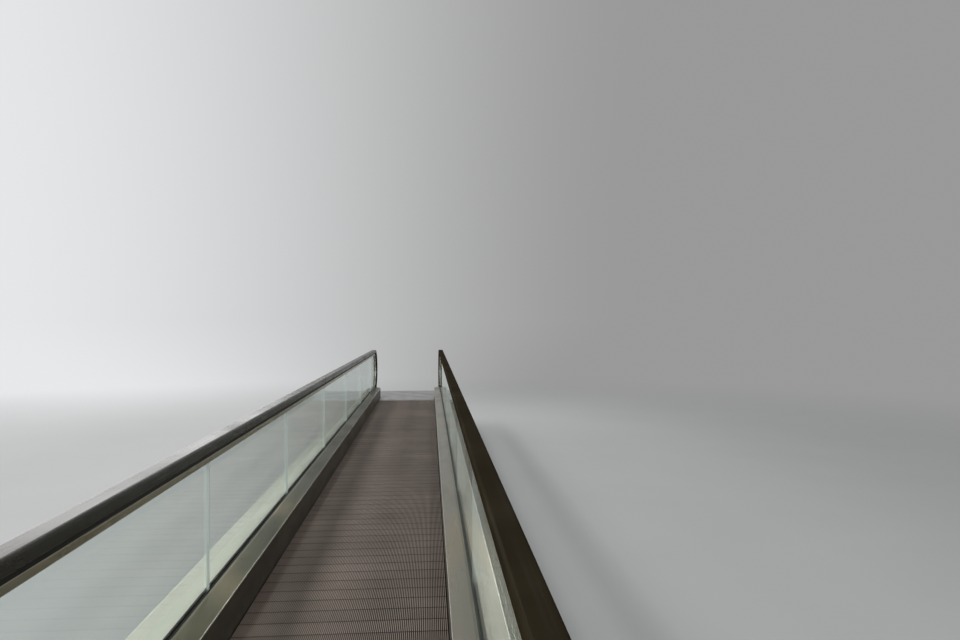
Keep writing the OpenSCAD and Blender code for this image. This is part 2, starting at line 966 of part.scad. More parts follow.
// Inner deck: a sheet from the lip over the skirt up to a narrow shelf beside the glass
module inner_deck() {
    hem = 10;
    drop = 8;
    color([0.66, 0.65, 0.60])
    on_tread()
        deck_sheets()
            polygon([[lip_x, lip_h - drop], [lip_x, lip_h], [shelf_x, deck_h],
                     [inner_edge, deck_h], [inner_edge, deck_h - hem],
                     [inner_edge - deck_t, deck_h - hem], [inner_edge - deck_t, deck_h - deck_t],
                     [shelf_x, deck_h - deck_t], [lip_x + deck_t, inner_deck_under(lip_x + deck_t)],
                     [lip_x + deck_t, lip_h - drop]]);
}

module inner_deck_right() {
    inner_deck();
}

module inner_deck_left() {
    mirror([1, 0, 0])
        inner_deck();
}

// Outer deck: level beside the glass, rounded over and turned down to the floor
module outer_deck() {
    hem = 10;
    corner = [half_w - deck_bend, deck_h - deck_bend];
    color([0.74, 0.74, 0.72])
    on_tread()
        deck_sheets()
            polygon(concat(
                [[outer_edge, deck_h - hem], [outer_edge, deck_h]],
                arc(corner, deck_bend, 90, 0, 6),
                [[half_w, 0], [half_w - deck_t, 0]],
                arc(corner, deck_bend - deck_t, 0, 90, 6),
                [[outer_edge + deck_t, deck_h - deck_t], [outer_edge + deck_t, deck_h - hem]]));
}

module outer_deck_right() {
    outer_deck();
}

module outer_deck_left() {
    mirror([1, 0, 0])
        outer_deck();
}

// Plates that close the ends of the decks, with a window for the handrail
module deck_end_caps() {
    color([0.74, 0.74, 0.72])
    on_tread()
        both_ends()
            both_sides()
                difference() {
                    run_along(base_y + seat, base_y + cap_t)
                        polygon([[skirt_x, comb_gap], [half_w, comb_gap], [half_w, deck_h],
                                 [shelf_x, deck_h], [skirt_x, lip_h]]);
                    block([handrail_x - inlet_half, base_y, inlet_bottom],
                          [handrail_x + inlet_half, base_y + cap_t + 1, inlet_top]);
                }
}

// Collars round the handrail where it enters the deck's end
module handrail_inlets() {
    wall = 9;
    color([0.08, 0.08, 0.08])
    on_tread()
        both_ends()
            both_sides()
                difference() {
                    block([handrail_x - inlet_half - wall, base_y + cap_t, inlet_bottom - wall],
                          [handrail_x + inlet_half + wall, base_y + cap_t + inlet_t, inlet_top + 5]);
                    block([handrail_x - inlet_half, base_y, inlet_bottom],
                          [handrail_x + inlet_half, base_y + cap_t + inlet_t + 1, inlet_top]);
                }
}

// Channels on the brackets that grip the foot of the glass
module glass_clamps() {
    x0 = glass_x - clamp_wall;
    x1 = glass_x + glass_t + clamp_wall;
    floor_top = clamp_bottom + clamp_floor;
    color([0.66, 0.67, 0.68])
    on_tread()
        both_sides()
            run_along(-clamp_y, clamp_y)
                polygon([[x0, clamp_bottom], [x1, clamp_bottom], [x1, clamp_top],
                         [glass_x + glass_t + seat, clamp_top], [glass_x + glass_t + seat, floor_top],
                         [glass_x - seat, floor_top], [glass_x - seat, clamp_top], [x0, clamp_top]]);
}

// Black strips that close the slot between the glass and the decks
module glass_gaskets() {
    color([0.06, 0.06, 0.06])
    on_tread()
        both_sides()
            for (x = [glass_x - gasket_t, glass_x + glass_t + seat])
                block([x, -newel_y, deck_h - 12], [x + gasket_t - seat, newel_y, deck_h + 1]);
}

// One straight panel of glass
module bay_glass(i) {
    y0 = -bays_l / 2 + i * bay_l + glass_joint / 2;
    translate([y0, clamp_bottom + clamp_floor + seat])
        square([bay_l - glass_joint, newel_h + glass_top_r - clamp_bottom - clamp_floor - seat]);
}

// The panel at each end, rounded under the newel
module newel_glass() {
    y0 = bays_l / 2 + glass_joint / 2;
    low = clamp_bottom + clamp_floor + seat;
    ledge = deck_h - 10;
    top = newel_h + glass_top_r;
    foot = deck_end_l - 5;
    foot_a = -acos(foot / glass_top_r);
    polygon(concat(
        [[y0, low], [clamp_y, low], [clamp_y, ledge], [newel_y + foot, ledge]],
        arc([newel_y, newel_h], glass_top_r, foot_a, 90, 36),
        [[y0, top]]));
}

module glass_side() {
    color([0.62, 0.74, 0.70, 0.4])
    on_tread() {
        for (i = [0 : bay_count - 1])
            reach_across(glass_x, glass_x + glass_t)
                bay_glass(i);
        both_ends()
            reach_across(glass_x, glass_x + glass_t)
                newel_glass();
    }
}

module glass_right() {
    glass_side();
}

module glass_left() {
    mirror([1, 0, 0])
        glass_side();
}

// Section of the guide: a head inside the handrail, a neck between its lips, a foot on the glass
module guide_section() {
    head = handrail_w / 2 - handrail_t - 2;
    head_t = 9;
    neck = 14;
    shoulder = -handrail_lip - 3;
    foot = guide_w / 2;
    grip = glass_t / 2 + seat;
    crown = -cavity_top - seat;
    half = [[head, crown], [head, crown - head_t], [neck, crown - head_t - 2], [neck, shoulder],
            [foot, shoulder - 3], [foot, -guide_depth], [grip, -guide_depth],
            [grip, -guide_depth + guide_grip + seat]];
    polygon(concat(half, mirrored(half)));
}

// A section swept round part of a circle that stands along the walkway.
// Its height is measured outward from the radius, or inward where side is -1.
module sweep_arc(y, h, r, a0, a1, side) {
    translate([0, y, h])
        rotate([90, 0, 90])
            rotate([0, 0, a0])
                rotate_extrude(angle = a1 - a0, $fn = 96)
                    translate([r, 0])
                        rotate(-90 * side)
                            children();
}

// A section swept round one bend of the dip. The bend is above its centre where up is 1,
// and below it where up is -1, and ends at the slope where the two bends meet.
module sweep_dip(y, h, up) {
    reach = 2 * dip_r;
    translate([0, y, h])
        rotate([90, 0, 90])
            intersection() {
                rotate_extrude($fn = 96)
                    translate([dip_r, 0])
                        rotate(90 * up)
                            children();
                linear_extrude(2 * handrail_w, center = true)
                    polygon([[0, 0], [0, up * reach], [-up * reach * dip_sin, up * reach],
                             [-up * reach * dip_sin, up * reach * dip_cos]]);
            }
}

module handrail_guide() {
    color([0.55, 0.52, 0.45])
    on_tread()
        translate([handrail_x, 0, 0]) {
            run_along(-newel_y, newel_y)
                translate([0, handrail_line])
                    guide_section();
            both_ends()
                sweep_arc(newel_y, newel_h, newel_r, 90, guide_end_a, 1)
                    guide_section();
        }
}

module handrail_guide_right() {
    handrail_guide();
}

module handrail_guide_left() {
    mirror([1, 0, 0])
        handrail_guide();
}

// Section of the handrail: a flat tube, open below between two lips
module handrail_section() {
    w = handrail_w / 2;
    cavity = w - handrail_t;
    top = handrail_top;
    foot = -handrail_lip;
    right = concat(
        arc([w - handrail_r, top - handrail_r], handrail_r, 90, 0, 5),
        arc([w - lip_r, foot + lip_r], lip_r, 0, -90, 4),
        [[lip_gap, foot], [lip_gap, foot + lip_t], [cavity, foot + lip_t + lip_slope],
         [cavity, -cavity_top]]);
    polygon(concat(right, mirrored(right)));
}

// The closed loop of the handrail: top run, newels, dips under the deck and return run
module handrail() {
    color([0.05, 0.05, 0.05])
    on_tread()
        translate([handrail_x, 0, 0]) {
            run_along(-newel_y, newel_y)
                translate([0, handrail_line])
                    handrail_section();
            run_along(-dip_y1, dip_y1)
                translate([0, -return_drop])
                    mirror([0, 1])
                        handrail_section();
            both_ends() {
                sweep_arc(newel_y, newel_h, newel_r, -90, 90, 1)
                    handrail_section();
                run_along(dip_y0, newel_y)
                    translate([0, inlet_h])
                        mirror([0, 1])
                            handrail_section();
                sweep_dip(dip_y0, inlet_h - dip_r, 1)
                    handrail_section();
                sweep_dip(dip_y1, -return_drop + dip_r, -1)
                    handrail_section();
            }
        }
}

module handrail_right() {
    handrail();
}

module handrail_left() {
    mirror([1, 0, 0])
        handrail();
}

// Rollers in the cross frames that the handrail's return run lies on
module handrail_rollers() {
    axle_r = 8;
    color([0.75, 0.75, 0.74])
    on_tread()
        both_sides()
            for (y = frame_ys)
                translate([0, y, -return_drop - handrail_top - rest_r - seat]) {
                    reach_across(handrail_x - handrail_w / 2, handrail_x + handrail_w / 2)
                        circle(r = rest_r);
                    reach_across(handrail_x - handrail_w / 2 - slot_clear + seat,
                                 handrail_x + handrail_w / 2 + slot_clear - seat)
                        circle(r = axle_r);
                }
}

truss_side_left();
truss_side_right();
truss_end_plates();
truss_bottom_beams();
support_feet();
oil_pan();
cross_frames();
upper_tracks();
return_tracks();
pallets_upper();
pallets_at_combs();
pallets_return();
pallets_turning_near();
pallets_turning_far();
pallet_chain_left();
pallet_chain_right();
sprocket_shaft_near();
sprocket_shaft_far();
shaft_bearings();
drive_unit();
drive_chain();
drive_bedplate();
landing_frames();
floor_covers_near();
floor_covers_far();
comb_plates();
comb_segments_near();
comb_segments_far();
balustrade_brackets();
skirt_left();
skirt_right();
inner_deck_left();
inner_deck_right();
outer_deck_left();
outer_deck_right();
deck_end_caps();
handrail_inlets();
glass_clamps();
glass_gaskets();
glass_left();
glass_right();
handrail_guide_left();
handrail_guide_right();
handrail_left();
handrail_right();
handrail_rollers();
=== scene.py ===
# %% [markdown]
# # A moving walkway in aluminium, brushed steel, rubber and glass
#
# The real object is a level belt of ribbed pallets between two glass balustrades. The solids
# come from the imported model, which is the fixed frame of this script: its parts keep their
# places and shapes. What this lesson adds is what a solid model leaves out: the cleats of the
# pallets, the links of the drive chain, screws and bolts, and above all the finishes. The
# first cell loads the frame and measures it, because the later pieces take their places from
# those boxes.

# %% Load the frame
import math

import bpy
from mathutils import Matrix, Vector


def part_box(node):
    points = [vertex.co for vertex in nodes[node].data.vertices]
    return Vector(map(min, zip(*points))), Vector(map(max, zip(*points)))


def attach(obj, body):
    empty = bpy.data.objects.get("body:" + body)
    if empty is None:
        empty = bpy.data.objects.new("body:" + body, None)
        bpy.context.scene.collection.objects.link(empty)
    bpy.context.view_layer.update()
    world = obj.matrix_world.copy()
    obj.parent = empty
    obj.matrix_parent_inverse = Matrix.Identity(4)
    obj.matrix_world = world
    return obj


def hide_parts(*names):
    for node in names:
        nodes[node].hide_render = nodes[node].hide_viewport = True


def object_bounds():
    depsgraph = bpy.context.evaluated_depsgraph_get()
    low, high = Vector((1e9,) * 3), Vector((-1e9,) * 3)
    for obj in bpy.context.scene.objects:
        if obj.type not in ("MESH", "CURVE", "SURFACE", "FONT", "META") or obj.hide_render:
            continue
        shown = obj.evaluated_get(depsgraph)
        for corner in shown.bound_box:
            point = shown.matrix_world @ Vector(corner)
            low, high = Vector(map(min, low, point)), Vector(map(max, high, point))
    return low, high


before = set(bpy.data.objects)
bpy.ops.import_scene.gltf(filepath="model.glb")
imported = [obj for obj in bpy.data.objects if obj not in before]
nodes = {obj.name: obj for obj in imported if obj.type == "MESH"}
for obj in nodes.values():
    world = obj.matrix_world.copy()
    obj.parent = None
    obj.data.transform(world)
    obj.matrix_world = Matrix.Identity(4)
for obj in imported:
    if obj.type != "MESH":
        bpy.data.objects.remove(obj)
cad_low, cad_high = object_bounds()
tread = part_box("pallets_upper")[1].z
print("box of the frame in metres:", tuple(cad_low), tuple(cad_high), "tread at", round(tread, 3))

# %% [markdown]
# ## The camera
#
# The camera stands over the near landing, a little right of the middle, at eye height over the
# tread. The lines of the walkway meet at one point of the photograph, and the camera's turn to
# the right puts that point where it is there. The lens was worked out from the slopes of the
# same lines. No shift is needed, so other views keep a plain camera.

# %% Camera
EYE_OVER_TREAD = 1.46
EYE_X, EYE_Y = 0.41, -6.917
TURN_RIGHT = 4.2
LENS = 25.9
camera_data = bpy.data.cameras.new("rider_camera")
camera_data.sensor_width = 36
camera_data.lens = LENS
camera_data.clip_end = 3000
camera = bpy.data.objects.new("rider_camera", camera_data)
camera.location = (EYE_X, EYE_Y, tread + EYE_OVER_TREAD)
camera.rotation_euler = (math.radians(90), 0, math.radians(-TURN_RIGHT))
bpy.context.collection.objects.link(camera)
bpy.context.scene.camera = camera
print("camera", round(camera.location.z, 3), "m over the pit floor")

# %% [markdown]
# ## Backdrop and lamps
#
# Brushed steel and glass show what is around them, so the studio is part of their look. The
# world is a plain backdrop that is pale to the left and greyer to the right and overhead:
# steel that faces left is bright, steel that faces right is darker, and the two sides of the
# walkway read apart. One large soft box stands at the left, high enough to be mirrored in the
# top of the left handrail. Two narrow ones hang overhead and draw thin lines of light down
# rails and decks.

# %% Studio
scene = bpy.context.scene
scene.view_settings.view_transform = "Standard"
BACKDROP_LEFT, LEFT_END = (0.80, 0.81, 0.82), -0.60
BACKDROP_RIGHT, RIGHT_END = (0.32, 0.32, 0.32), 0.30
OVERHEAD = (0.24, 0.25, 0.26)
CLIMB_FROM, CLIMB_TO = 0.42, 0.95


def studio_world():
    world = bpy.data.worlds.new("pale_studio")
    world.use_nodes = True
    tree = world.node_tree
    tree.nodes.clear()
    direction = tree.nodes.new("ShaderNodeTexCoord")
    split = tree.nodes.new("ShaderNodeSeparateXYZ")
    tree.links.new(direction.outputs["Generated"], split.inputs[0])
    across = tree.nodes.new("ShaderNodeMapRange")
    across.interpolation_type = "SMOOTHSTEP"
    across.inputs["From Min"].default_value = LEFT_END
    across.inputs["From Max"].default_value = RIGHT_END
    tree.links.new(split.outputs["X"], across.inputs["Value"])
    sides = tree.nodes.new("ShaderNodeMix")
    sides.data_type = "RGBA"
    sides.inputs["A"].default_value = (*BACKDROP_LEFT, 1)
    sides.inputs["B"].default_value = (*BACKDROP_RIGHT, 1)
    tree.links.new(across.outputs[0], sides.inputs["Factor"])
    climb = tree.nodes.new("ShaderNodeMapRange")
    climb.inputs["From Min"].default_value = CLIMB_FROM
    climb.inputs["From Max"].default_value = CLIMB_TO
    tree.links.new(split.outputs["Z"], climb.inputs["Value"])
    sky = tree.nodes.new("ShaderNodeMix")
    sky.data_type = "RGBA"
    sky.inputs["B"].default_value = (*OVERHEAD, 1)
    tree.links.new(climb.outputs[0], sky.inputs["Factor"])
    tree.links.new(sides.outputs["Result"], sky.inputs["A"])
    light = tree.nodes.new("ShaderNodeBackground")
    tree.links.new(sky.outputs["Result"], light.inputs["Color"])
    out = tree.nodes.new("ShaderNodeOutputWorld")
    tree.links.new(light.outputs[0], out.inputs["Surface"])
    return world


scene.world = studio_world()
print("backdrop from", BACKDROP_LEFT, "at the left to", BACKDROP_RIGHT, "at the right")

# %% Lamps


def soft_box(name, size, place, turn, power):
    data = bpy.data.lights.new(name, "AREA")
    data.shape = "RECTANGLE"
    data.size, data.size_y = size
    data.energy = power
    lamp = bpy.data.objects.new(name, data)
    lamp.location = place
    lamp.rotation_euler = [math.radians(a) for a in turn]
    bpy.context.collection.objects.link(lamp)


soft_box("overhead_strip_left", (0.5, 22), (-1.9, 0, 4.6), (0, -16, 0), 150)
soft_box("overhead_strip_right", (0.5, 22), (2.4, 0, 4.6), (0, 20, 0), 110)
soft_box("tall_box_left", (5.0, 60), (-10, 14, 5.4), (0, -72, 0), 1700)

# %% [markdown]
# ## Shader arithmetic
#
# A finish is a small program: masks and heights are sums of noises, lines and coordinates.
# Wiring each sum by hand hides what it means, so two helpers let it be written as a formula.
# `Wire` is the output of a node that takes part in Python arithmetic, and `Finish` is a
# material whose one method `node` adds any node: settings first, then values or links.

# %% Wire


class Wire:
    """The output of a node, which can be added, multiplied and compared like a number."""

    def __init__(self, finish, socket):
        self.finish = finish
        self.socket = socket

    def maths(self, operation, *terms):
        return self.finish.node("ShaderNodeMath", {"operation": operation}, dict(enumerate(terms)))

    def __add__(self, other):
        return self.maths("ADD", self, other)

    def __sub__(self, other):
        return self.maths("SUBTRACT", self, other)

    def __rsub__(self, other):
        return self.maths("SUBTRACT", other, self)

    def __mul__(self, other):
        return self.maths("MULTIPLY", self, other)

    def __truediv__(self, other):
        return self.maths("DIVIDE", self, other)

    def __gt__(self, other):
        return self.maths("GREATER_THAN", self, other)

    def __lt__(self, other):
        return self.maths("LESS_THAN", self, other)

    def __abs__(self):
        return self.maths("ABSOLUTE", self)

    __radd__ = __add__
    __rmul__ = __mul__

    def root(self):
        return self.maths("SQRT", self)

    def fraction(self):
        return self.maths("FRACT", self)

    def floor(self):
        return self.maths("FLOOR", self)

    def larger(self, other):
        return self.maths("MAXIMUM", self, other)

    def smoothly(self, low, high):
        """0 below low, 1 above high, and a soft ramp between them."""
        settings = {"interpolation_type": "SMOOTHSTEP"}
        return self.finish.node("ShaderNodeMapRange", settings, {0: self, 1: low, 2: high})


print("Wire can be added, multiplied, compared and ramped")

# %% [markdown]
# `Finish` starts with the place on the object and its three coordinates. Besides `node` it has
# short names for what most finishes use: noise, a mix of two colours, a bump, the direction of
# the face, and the shader itself. `dress` puts a finished material on parts of the frame.

# %% Finish


class Finish:
    """A material and the nodes that are being written for it."""

    def __init__(self, name):
        self.material = bpy.data.materials.new(name)
        self.material.use_nodes = True
        self.tree = self.material.node_tree
        self.tree.nodes.clear()
        self.place = self.node("ShaderNodeTexCoord", out="Object")
        self.x, self.y, self.z = self.parts(self.place)

    def node(self, kind, settings=None, sockets=None, out=0):
        """Adds a node: its settings first, then the values or links of its sockets."""
        made = self.tree.nodes.new(kind)
        for name, value in (settings or {}).items():
            setattr(made, name, value)
        for name, value in (sockets or {}).items():
            socket = made.inputs[name]
            if isinstance(value, Wire):
                self.tree.links.new(value.socket, socket)
            elif isinstance(value, tuple) and socket.type == "RGBA":
                socket.default_value = (*value, 1)
            else:
                socket.default_value = value
        return made if out is None else Wire(self, made.outputs[out])

    def parts(self, vector):
        """The three numbers of a vector."""
        split = self.node("ShaderNodeSeparateXYZ", {}, {0: vector}, out=None)
        return [Wire(self, socket) for socket in split.outputs]

    def facing(self):
        """The direction of the face, as three numbers."""
        return self.parts(self.node("ShaderNodeNewGeometry", out="Normal"))

    def stretched(self, x, y, z):
        """The place on the object with each axis scaled, for patterns that are longer one way."""
        settings = {"operation": "MULTIPLY"}
        return self.node("ShaderNodeVectorMath", settings, {0: self.place, 1: (x, y, z)})

    def noise(self, scale, detail=3, vector=None, roughness=0.5):
        sockets = {"Vector": vector or self.place, "Scale": scale, "Detail": detail}
        sockets["Roughness"] = roughness
        return self.node("ShaderNodeTexNoise", {}, sockets)

    def mix(self, a, b, mask):
        sockets = {0: mask, 6: a, 7: b}
        return self.node("ShaderNodeMix", {"data_type": "RGBA"}, sockets, out=2)

    def bump(self, height, distance, strength):
        sockets = {"Height": height, "Distance": distance, "Strength": strength}
        return self.node("ShaderNodeBump", {}, sockets)

    def line(self, along, period, width, start):
        """1 in a narrow line that comes back after each period, and 0 elsewhere."""
        return abs((along / period + (0.5 - start / period)).fraction() - 0.5) < width / period / 2

    def principled(self, **sockets):
        named = {name.replace("_", " "): value for name, value in sockets.items()}
        return self.node("ShaderNodeBsdfPrincipled", {}, named)

    def output(self, shader):
        self.node("ShaderNodeOutputMaterial", {}, {"Surface": shader}, out=None)
        return self.material


def dress(finish, *names):
    """Gives a finish to CAD nodes, in every slot that they have."""
    for name in names:
        part = nodes[name]
        if not part.material_slots:
            part.data.materials.append(finish)
        for place in part.material_slots:
            place.material = finish
    print(finish.name, "on", ", ".join(names))


# %% [markdown]
# ## The pale floor
#
# The floor only has to be pale and to take the shadow. It is one large plane with a trace of
# unevenness. Away from the object it turns into the tone that the backdrop has in the same
# direction, as the curved sweep of a studio does, so no hard line crosses the picture.

# %% Floor finish
FADE_FROM, FADE_TO = 7, 19
floor_finish = Finish("studio_floor")
tone = floor_finish.noise(0.7, 2)
pale = floor_finish.mix((0.56, 0.56, 0.555), (0.60, 0.60, 0.595), tone)
near = floor_finish.principled(Base_Color=pale, Roughness=0.9)
reach = floor_finish.node(
    "ShaderNodeVectorMath", {"operation": "LENGTH"}, {0: floor_finish.place}, out="Value"
)
across = (floor_finish.x / reach).smoothly(LEFT_END, RIGHT_END)
backdrop = floor_finish.mix(BACKDROP_LEFT, BACKDROP_RIGHT, across)
far = floor_finish.node("ShaderNodeEmission", {}, {"Color": backdrop})
fade = reach.smoothly(FADE_FROM, FADE_TO)
pale_floor = floor_finish.output(
    floor_finish.node("ShaderNodeMixShader", {}, {0: fade, 1: near, 2: far})
)
print(pale_floor.name, "fades into the backdrop from", FADE_FROM, "to", FADE_TO, "m")

# %% Floor
FLOOR_HALF = 900
square = ((-1, -1), (1, -1), (1, 1), (-1, 1))
corners = [(x * FLOOR_HALF, y * FLOOR_HALF, cad_low.z) for x, y in square]
floor_mesh = bpy.data.meshes.new("studio_floor")
floor_mesh.from_pydata(corners, [], [(0, 1, 2, 3)])
floor_mesh.materials.append(pale_floor)
studio_floor = bpy.data.objects.new("studio_floor", floor_mesh)
bpy.context.collection.objects.link(studio_floor)
print("floor at", round(cad_low.z, 4))

# %% [markdown]
# ## Meshes from lists
#
# The added pieces are few shapes repeated many times. `Shape` collects vertices and faces, so
# one loop can place a hundred bolts or pallets in one piece, and each piece is then made
# once and rides on the frame's only body.

# %% Shape and ring


class Shape:
    """Vertices and faces that are collected before they become one mesh."""

    def __init__(self):
        self.points = []
        self.faces = []

    def add(self, points, faces, move):
        start = len(self.points)
        self.points += [move @ Vector(p) for p in points]
        self.faces += [[start + i for i in face] for face in faces]

    def prism(self, outline, depth, move):
        """An outline in x and y, pulled from z = 0 up to the depth."""
        n = len(outline)
        points = [(x, y, 0) for x, y in outline] + [(x, y, depth) for x, y in outline]
        faces = [(i, (i + 1) % n, n + (i + 1) % n, n + i) for i in range(n)]
        faces += [tuple(reversed(range(n))), tuple(range(n, 2 * n))]
        self.add(points, faces, move)

    def piece(self, name, finish, slot, *replaced):
        mesh = bpy.data.meshes.new(name)
        mesh.from_pydata(self.points, [], self.faces)
        mesh.materials.append(finish)
        made = bpy.data.objects.new(name, mesh)
        bpy.context.collection.objects.link(made)
        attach(made, "root")
        if replaced:
            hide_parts(*replaced)
        print(name, len(self.points), "vertices,", len(self.faces), "faces")
        return made


def ring(radius, count):
    """A regular outline: 6 points for a bolt head, 12 or more for a round."""
    angles = [2 * math.pi * i / count for i in range(count)]
    return [(radius * math.cos(a), radius * math.sin(a)) for a in angles]


print("a bolt head has", len(ring(1, 6)), "corners")

# %% [markdown]
# ## Pallet aluminium
#
# Pallets are cast in aluminium and never painted on top. Shoes polish the crests of the
# cleats, and the grooves between them darken with their depth under the tread, partly dust and
# oil and partly painted shade: bright crest, brown flank, nearly black groove. Each pallet also
# has a tone of its own, from a noise that is read once for each step of the pitch, and broad
# stains run over all. The chamfered ends of the cleats are dark across each joint, and one
# cleat left of the middle is polished pale along the whole belt.

# %% Pallet finish
PITCH = 0.1333
JOINT_GAP = 0.002
MARK_X, MARK_HALF_W = -0.09, 0.0024
low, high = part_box("pallets_return")
PALLET_COUNT = round((high.y - low.y + JOINT_GAP) / PITCH)
pallet = Finish("pallet_aluminium")
depth = (tread - pallet.z).smoothly(0.0006, 0.0085)
serial = (pallet.y / PITCH + PALLET_COUNT / 2).floor()
own_tone = pallet.node("ShaderNodeTexWhiteNoise", {"noise_dimensions": "1D"}, {"W": serial})
stains = pallet.noise(2.3, 4).smoothly(0.35, 0.75)
speckle = pallet.noise(420, 2)
worn = own_tone * 0.3 + stains * 0.5 + speckle * 0.25
crest = pallet.mix((0.29, 0.225, 0.185), (0.48, 0.380, 0.320), worn)
along = pallet.y / PITCH if PALLET_COUNT % 2 else pallet.y / PITCH + 0.5
chamfer = (abs((along + 0.5).fraction() - 0.5)).smoothly(0.455, 0.48)
crest = pallet.mix(crest, (0.03, 0.026, 0.023), chamfer)
guide_mark = abs(pallet.x - MARK_X) < MARK_HALF_W
crest = pallet.mix(crest, (0.62, 0.58, 0.53), guide_mark * 0.6)
# groove colour: partly dust and oil, partly painted shade, nearly black deep in the grooves
groove_dirt_and_shade = pallet.mix((0.012, 0.010, 0.009), (0.035, 0.029, 0.025), speckle)
tone = pallet.mix(crest, groove_dirt_and_shade, depth)
rough = depth * 0.3 + (speckle * 0.2 + 0.36)
grain = pallet.bump(pallet.noise(900, 3), 0.0003, 0.5)
pallet_finish = pallet.output(
    pallet.principled(
        Base_Color=tone, Metallic=0.35, Roughness=rough, Normal=grain, Specular_IOR_Level=0.3
    )
)
dress(pallet_finish, "pallets_upper", "pallets_at_combs", "pallets_return",
      "pallets_turning_near", "pallets_turning_far")

# %% [markdown]
# ## Cleats
#
# Each pallet has 110 cleats with deep grooves between them. A bump map would do from above,
# but the view runs low along the tread, where only true grooves give the fine lines that
# converge and the dark gaps between crests. So the plain pallets of the frame are stood for
# by pallets whose top is one zigzag outline, pulled along the travel, with the same ribs and
# lugs below. Only the upper run and the turning pallets get them: no view sees the cleats of
# the others.

# %% One cleated pallet
PALLET_HALF_W = 0.5
PALLET_HALF_L = (PITCH - JOINT_GAP) / 2
CLEATS = 110
GROOVE_W = 0.0054
GROOVE_D = 0.010
SLAB_T = 0.016
RIB_H = 0.042
FLANK = 0.0004
PALLET_RIB = ((0.012, -SLAB_T), (0.016, -RIB_H), (0.030, -RIB_H), (0.036, -SLAB_T))
LUG_FOOT = ((0.5237, -0.038), (0.5237, -0.087), (0.486, -0.087))
PALLET_LUG = ((0.486, -SLAB_T), (0.5, -SLAB_T), (0.5, -0.038), *LUG_FOOT)
LUG_L = 0.056
ACROSS = Matrix(((0, 0, 1, -PALLET_HALF_W), (1, 0, 0, 0), (0, 1, 0, 0), (0, 0, 0, 1)))
ALONG = Matrix(((1, 0, 0, 0), (0, 0, -1, LUG_L / 2), (0, 1, 0, 0), (0, 0, 0, 1)))


def cleated_pallet(shape, move):
    """One pallet with its tread at z = 0, centred, x across the walkway."""
    step = 2 * PALLET_HALF_W / CLEATS
    crest_half = (step - GROOVE_W) / 2
    foot_half = crest_half + FLANK
    points, faces = [], []
    top = [(-PALLET_HALF_W, -GROOVE_D)]
    for i in range(CLEATS):
        c = -PALLET_HALF_W + (i + 0.5) * step
        top += [(c - foot_half, -GROOVE_D), (c - crest_half, 0)]
        top += [(c + crest_half, 0), (c + foot_half, -GROOVE_D)]
    top += [(PALLET_HALF_W, -GROOVE_D)]
    outline = top + [(PALLET_HALF_W, -SLAB_T), (-PALLET_HALF_W, -SLAB_T)]
    n = len(outline)
    for y in (-PALLET_HALF_L, PALLET_HALF_L):
        points += [(x, y, z) for x, z in outline]
    faces += [(i, n + i, n + (i + 1) % n, (i + 1) % n) for i in range(n)]
    floor = [i for i, (x, z) in enumerate(outline) if z < 0]
    crests = [i for i, (x, z) in enumerate(outline) if z == 0]
    faces += [tuple(floor), tuple(n + i for i in reversed(floor))]
    for i in crests[::2]:
        faces += [(i - 1, i, i + 1, i + 2), (n + i + 2, n + i + 1, n + i, n + i - 1)]
    shape.add(points, faces, move)
    for side in (-1, 1):
        rib = [(side * PALLET_HALF_L - side * d, z) for d, z in PALLET_RIB]
        shape.prism(rib if side < 0 else rib[::-1], 2 * PALLET_HALF_W, move @ ACROSS)
        lug = [(side * x, z) for x, z in PALLET_LUG]
        shape.prism(lug if side < 0 else lug[::-1], LUG_L, move @ ALONG)


print("cleats every", round(2000 * PALLET_HALF_W / CLEATS, 2), "mm")

# %% [markdown]
# The pallets of the upper run lie one step apart, numbered from the near end. The three at
# each comb have true cleats in the frame already, so they are left out here.

# %% Pallets of the upper run
at_combs = {2, 3, 4, PALLET_COUNT - 5, PALLET_COUNT - 4, PALLET_COUNT - 3}
upper = Shape()
for i in range(PALLET_COUNT):
    if i not in at_combs:
        y = (i + 0.5 - PALLET_COUNT / 2) * PITCH
        cleated_pallet(upper, Matrix.Translation((0, y, tread)))
upper.piece("cleated_pallets", pallet_finish, "pallet_aluminium", "pallets_upper")

# %% [markdown]
# The four pallets at each end follow the sprocket. The same pallet is turned about the shaft
# by its share of the half turn, which is how the frame places them too.

# %% Turning pallets
TURN_Y = PALLET_COUNT * PITCH / 2
HUB_DROP = 0.24917
TEETH = 8
HALF_CHORD = 0.0667
TREAD_OVER_PIN = 0.0750
TREAD_R = HALF_CHORD / math.tan(math.pi / TEETH) + TREAD_OVER_PIN
for name, end in (("near", -1), ("far", 1)):
    turning = Shape()
    for i in range(TEETH // 2):
        angle = (i + 0.5) * 2 * math.pi / TEETH
        move = Matrix.Translation((0, end * TURN_Y, tread - HUB_DROP))
        move = move @ Matrix.Rotation(-end * angle, 4, "X") @ Matrix.Translation((0, 0, TREAD_R))
        cleated_pallet(turning, move)
    node = f"pallets_turning_{name}"
    turning.piece(f"turning_pallets_{name}", pallet_finish, "pallet_aluminium", node)
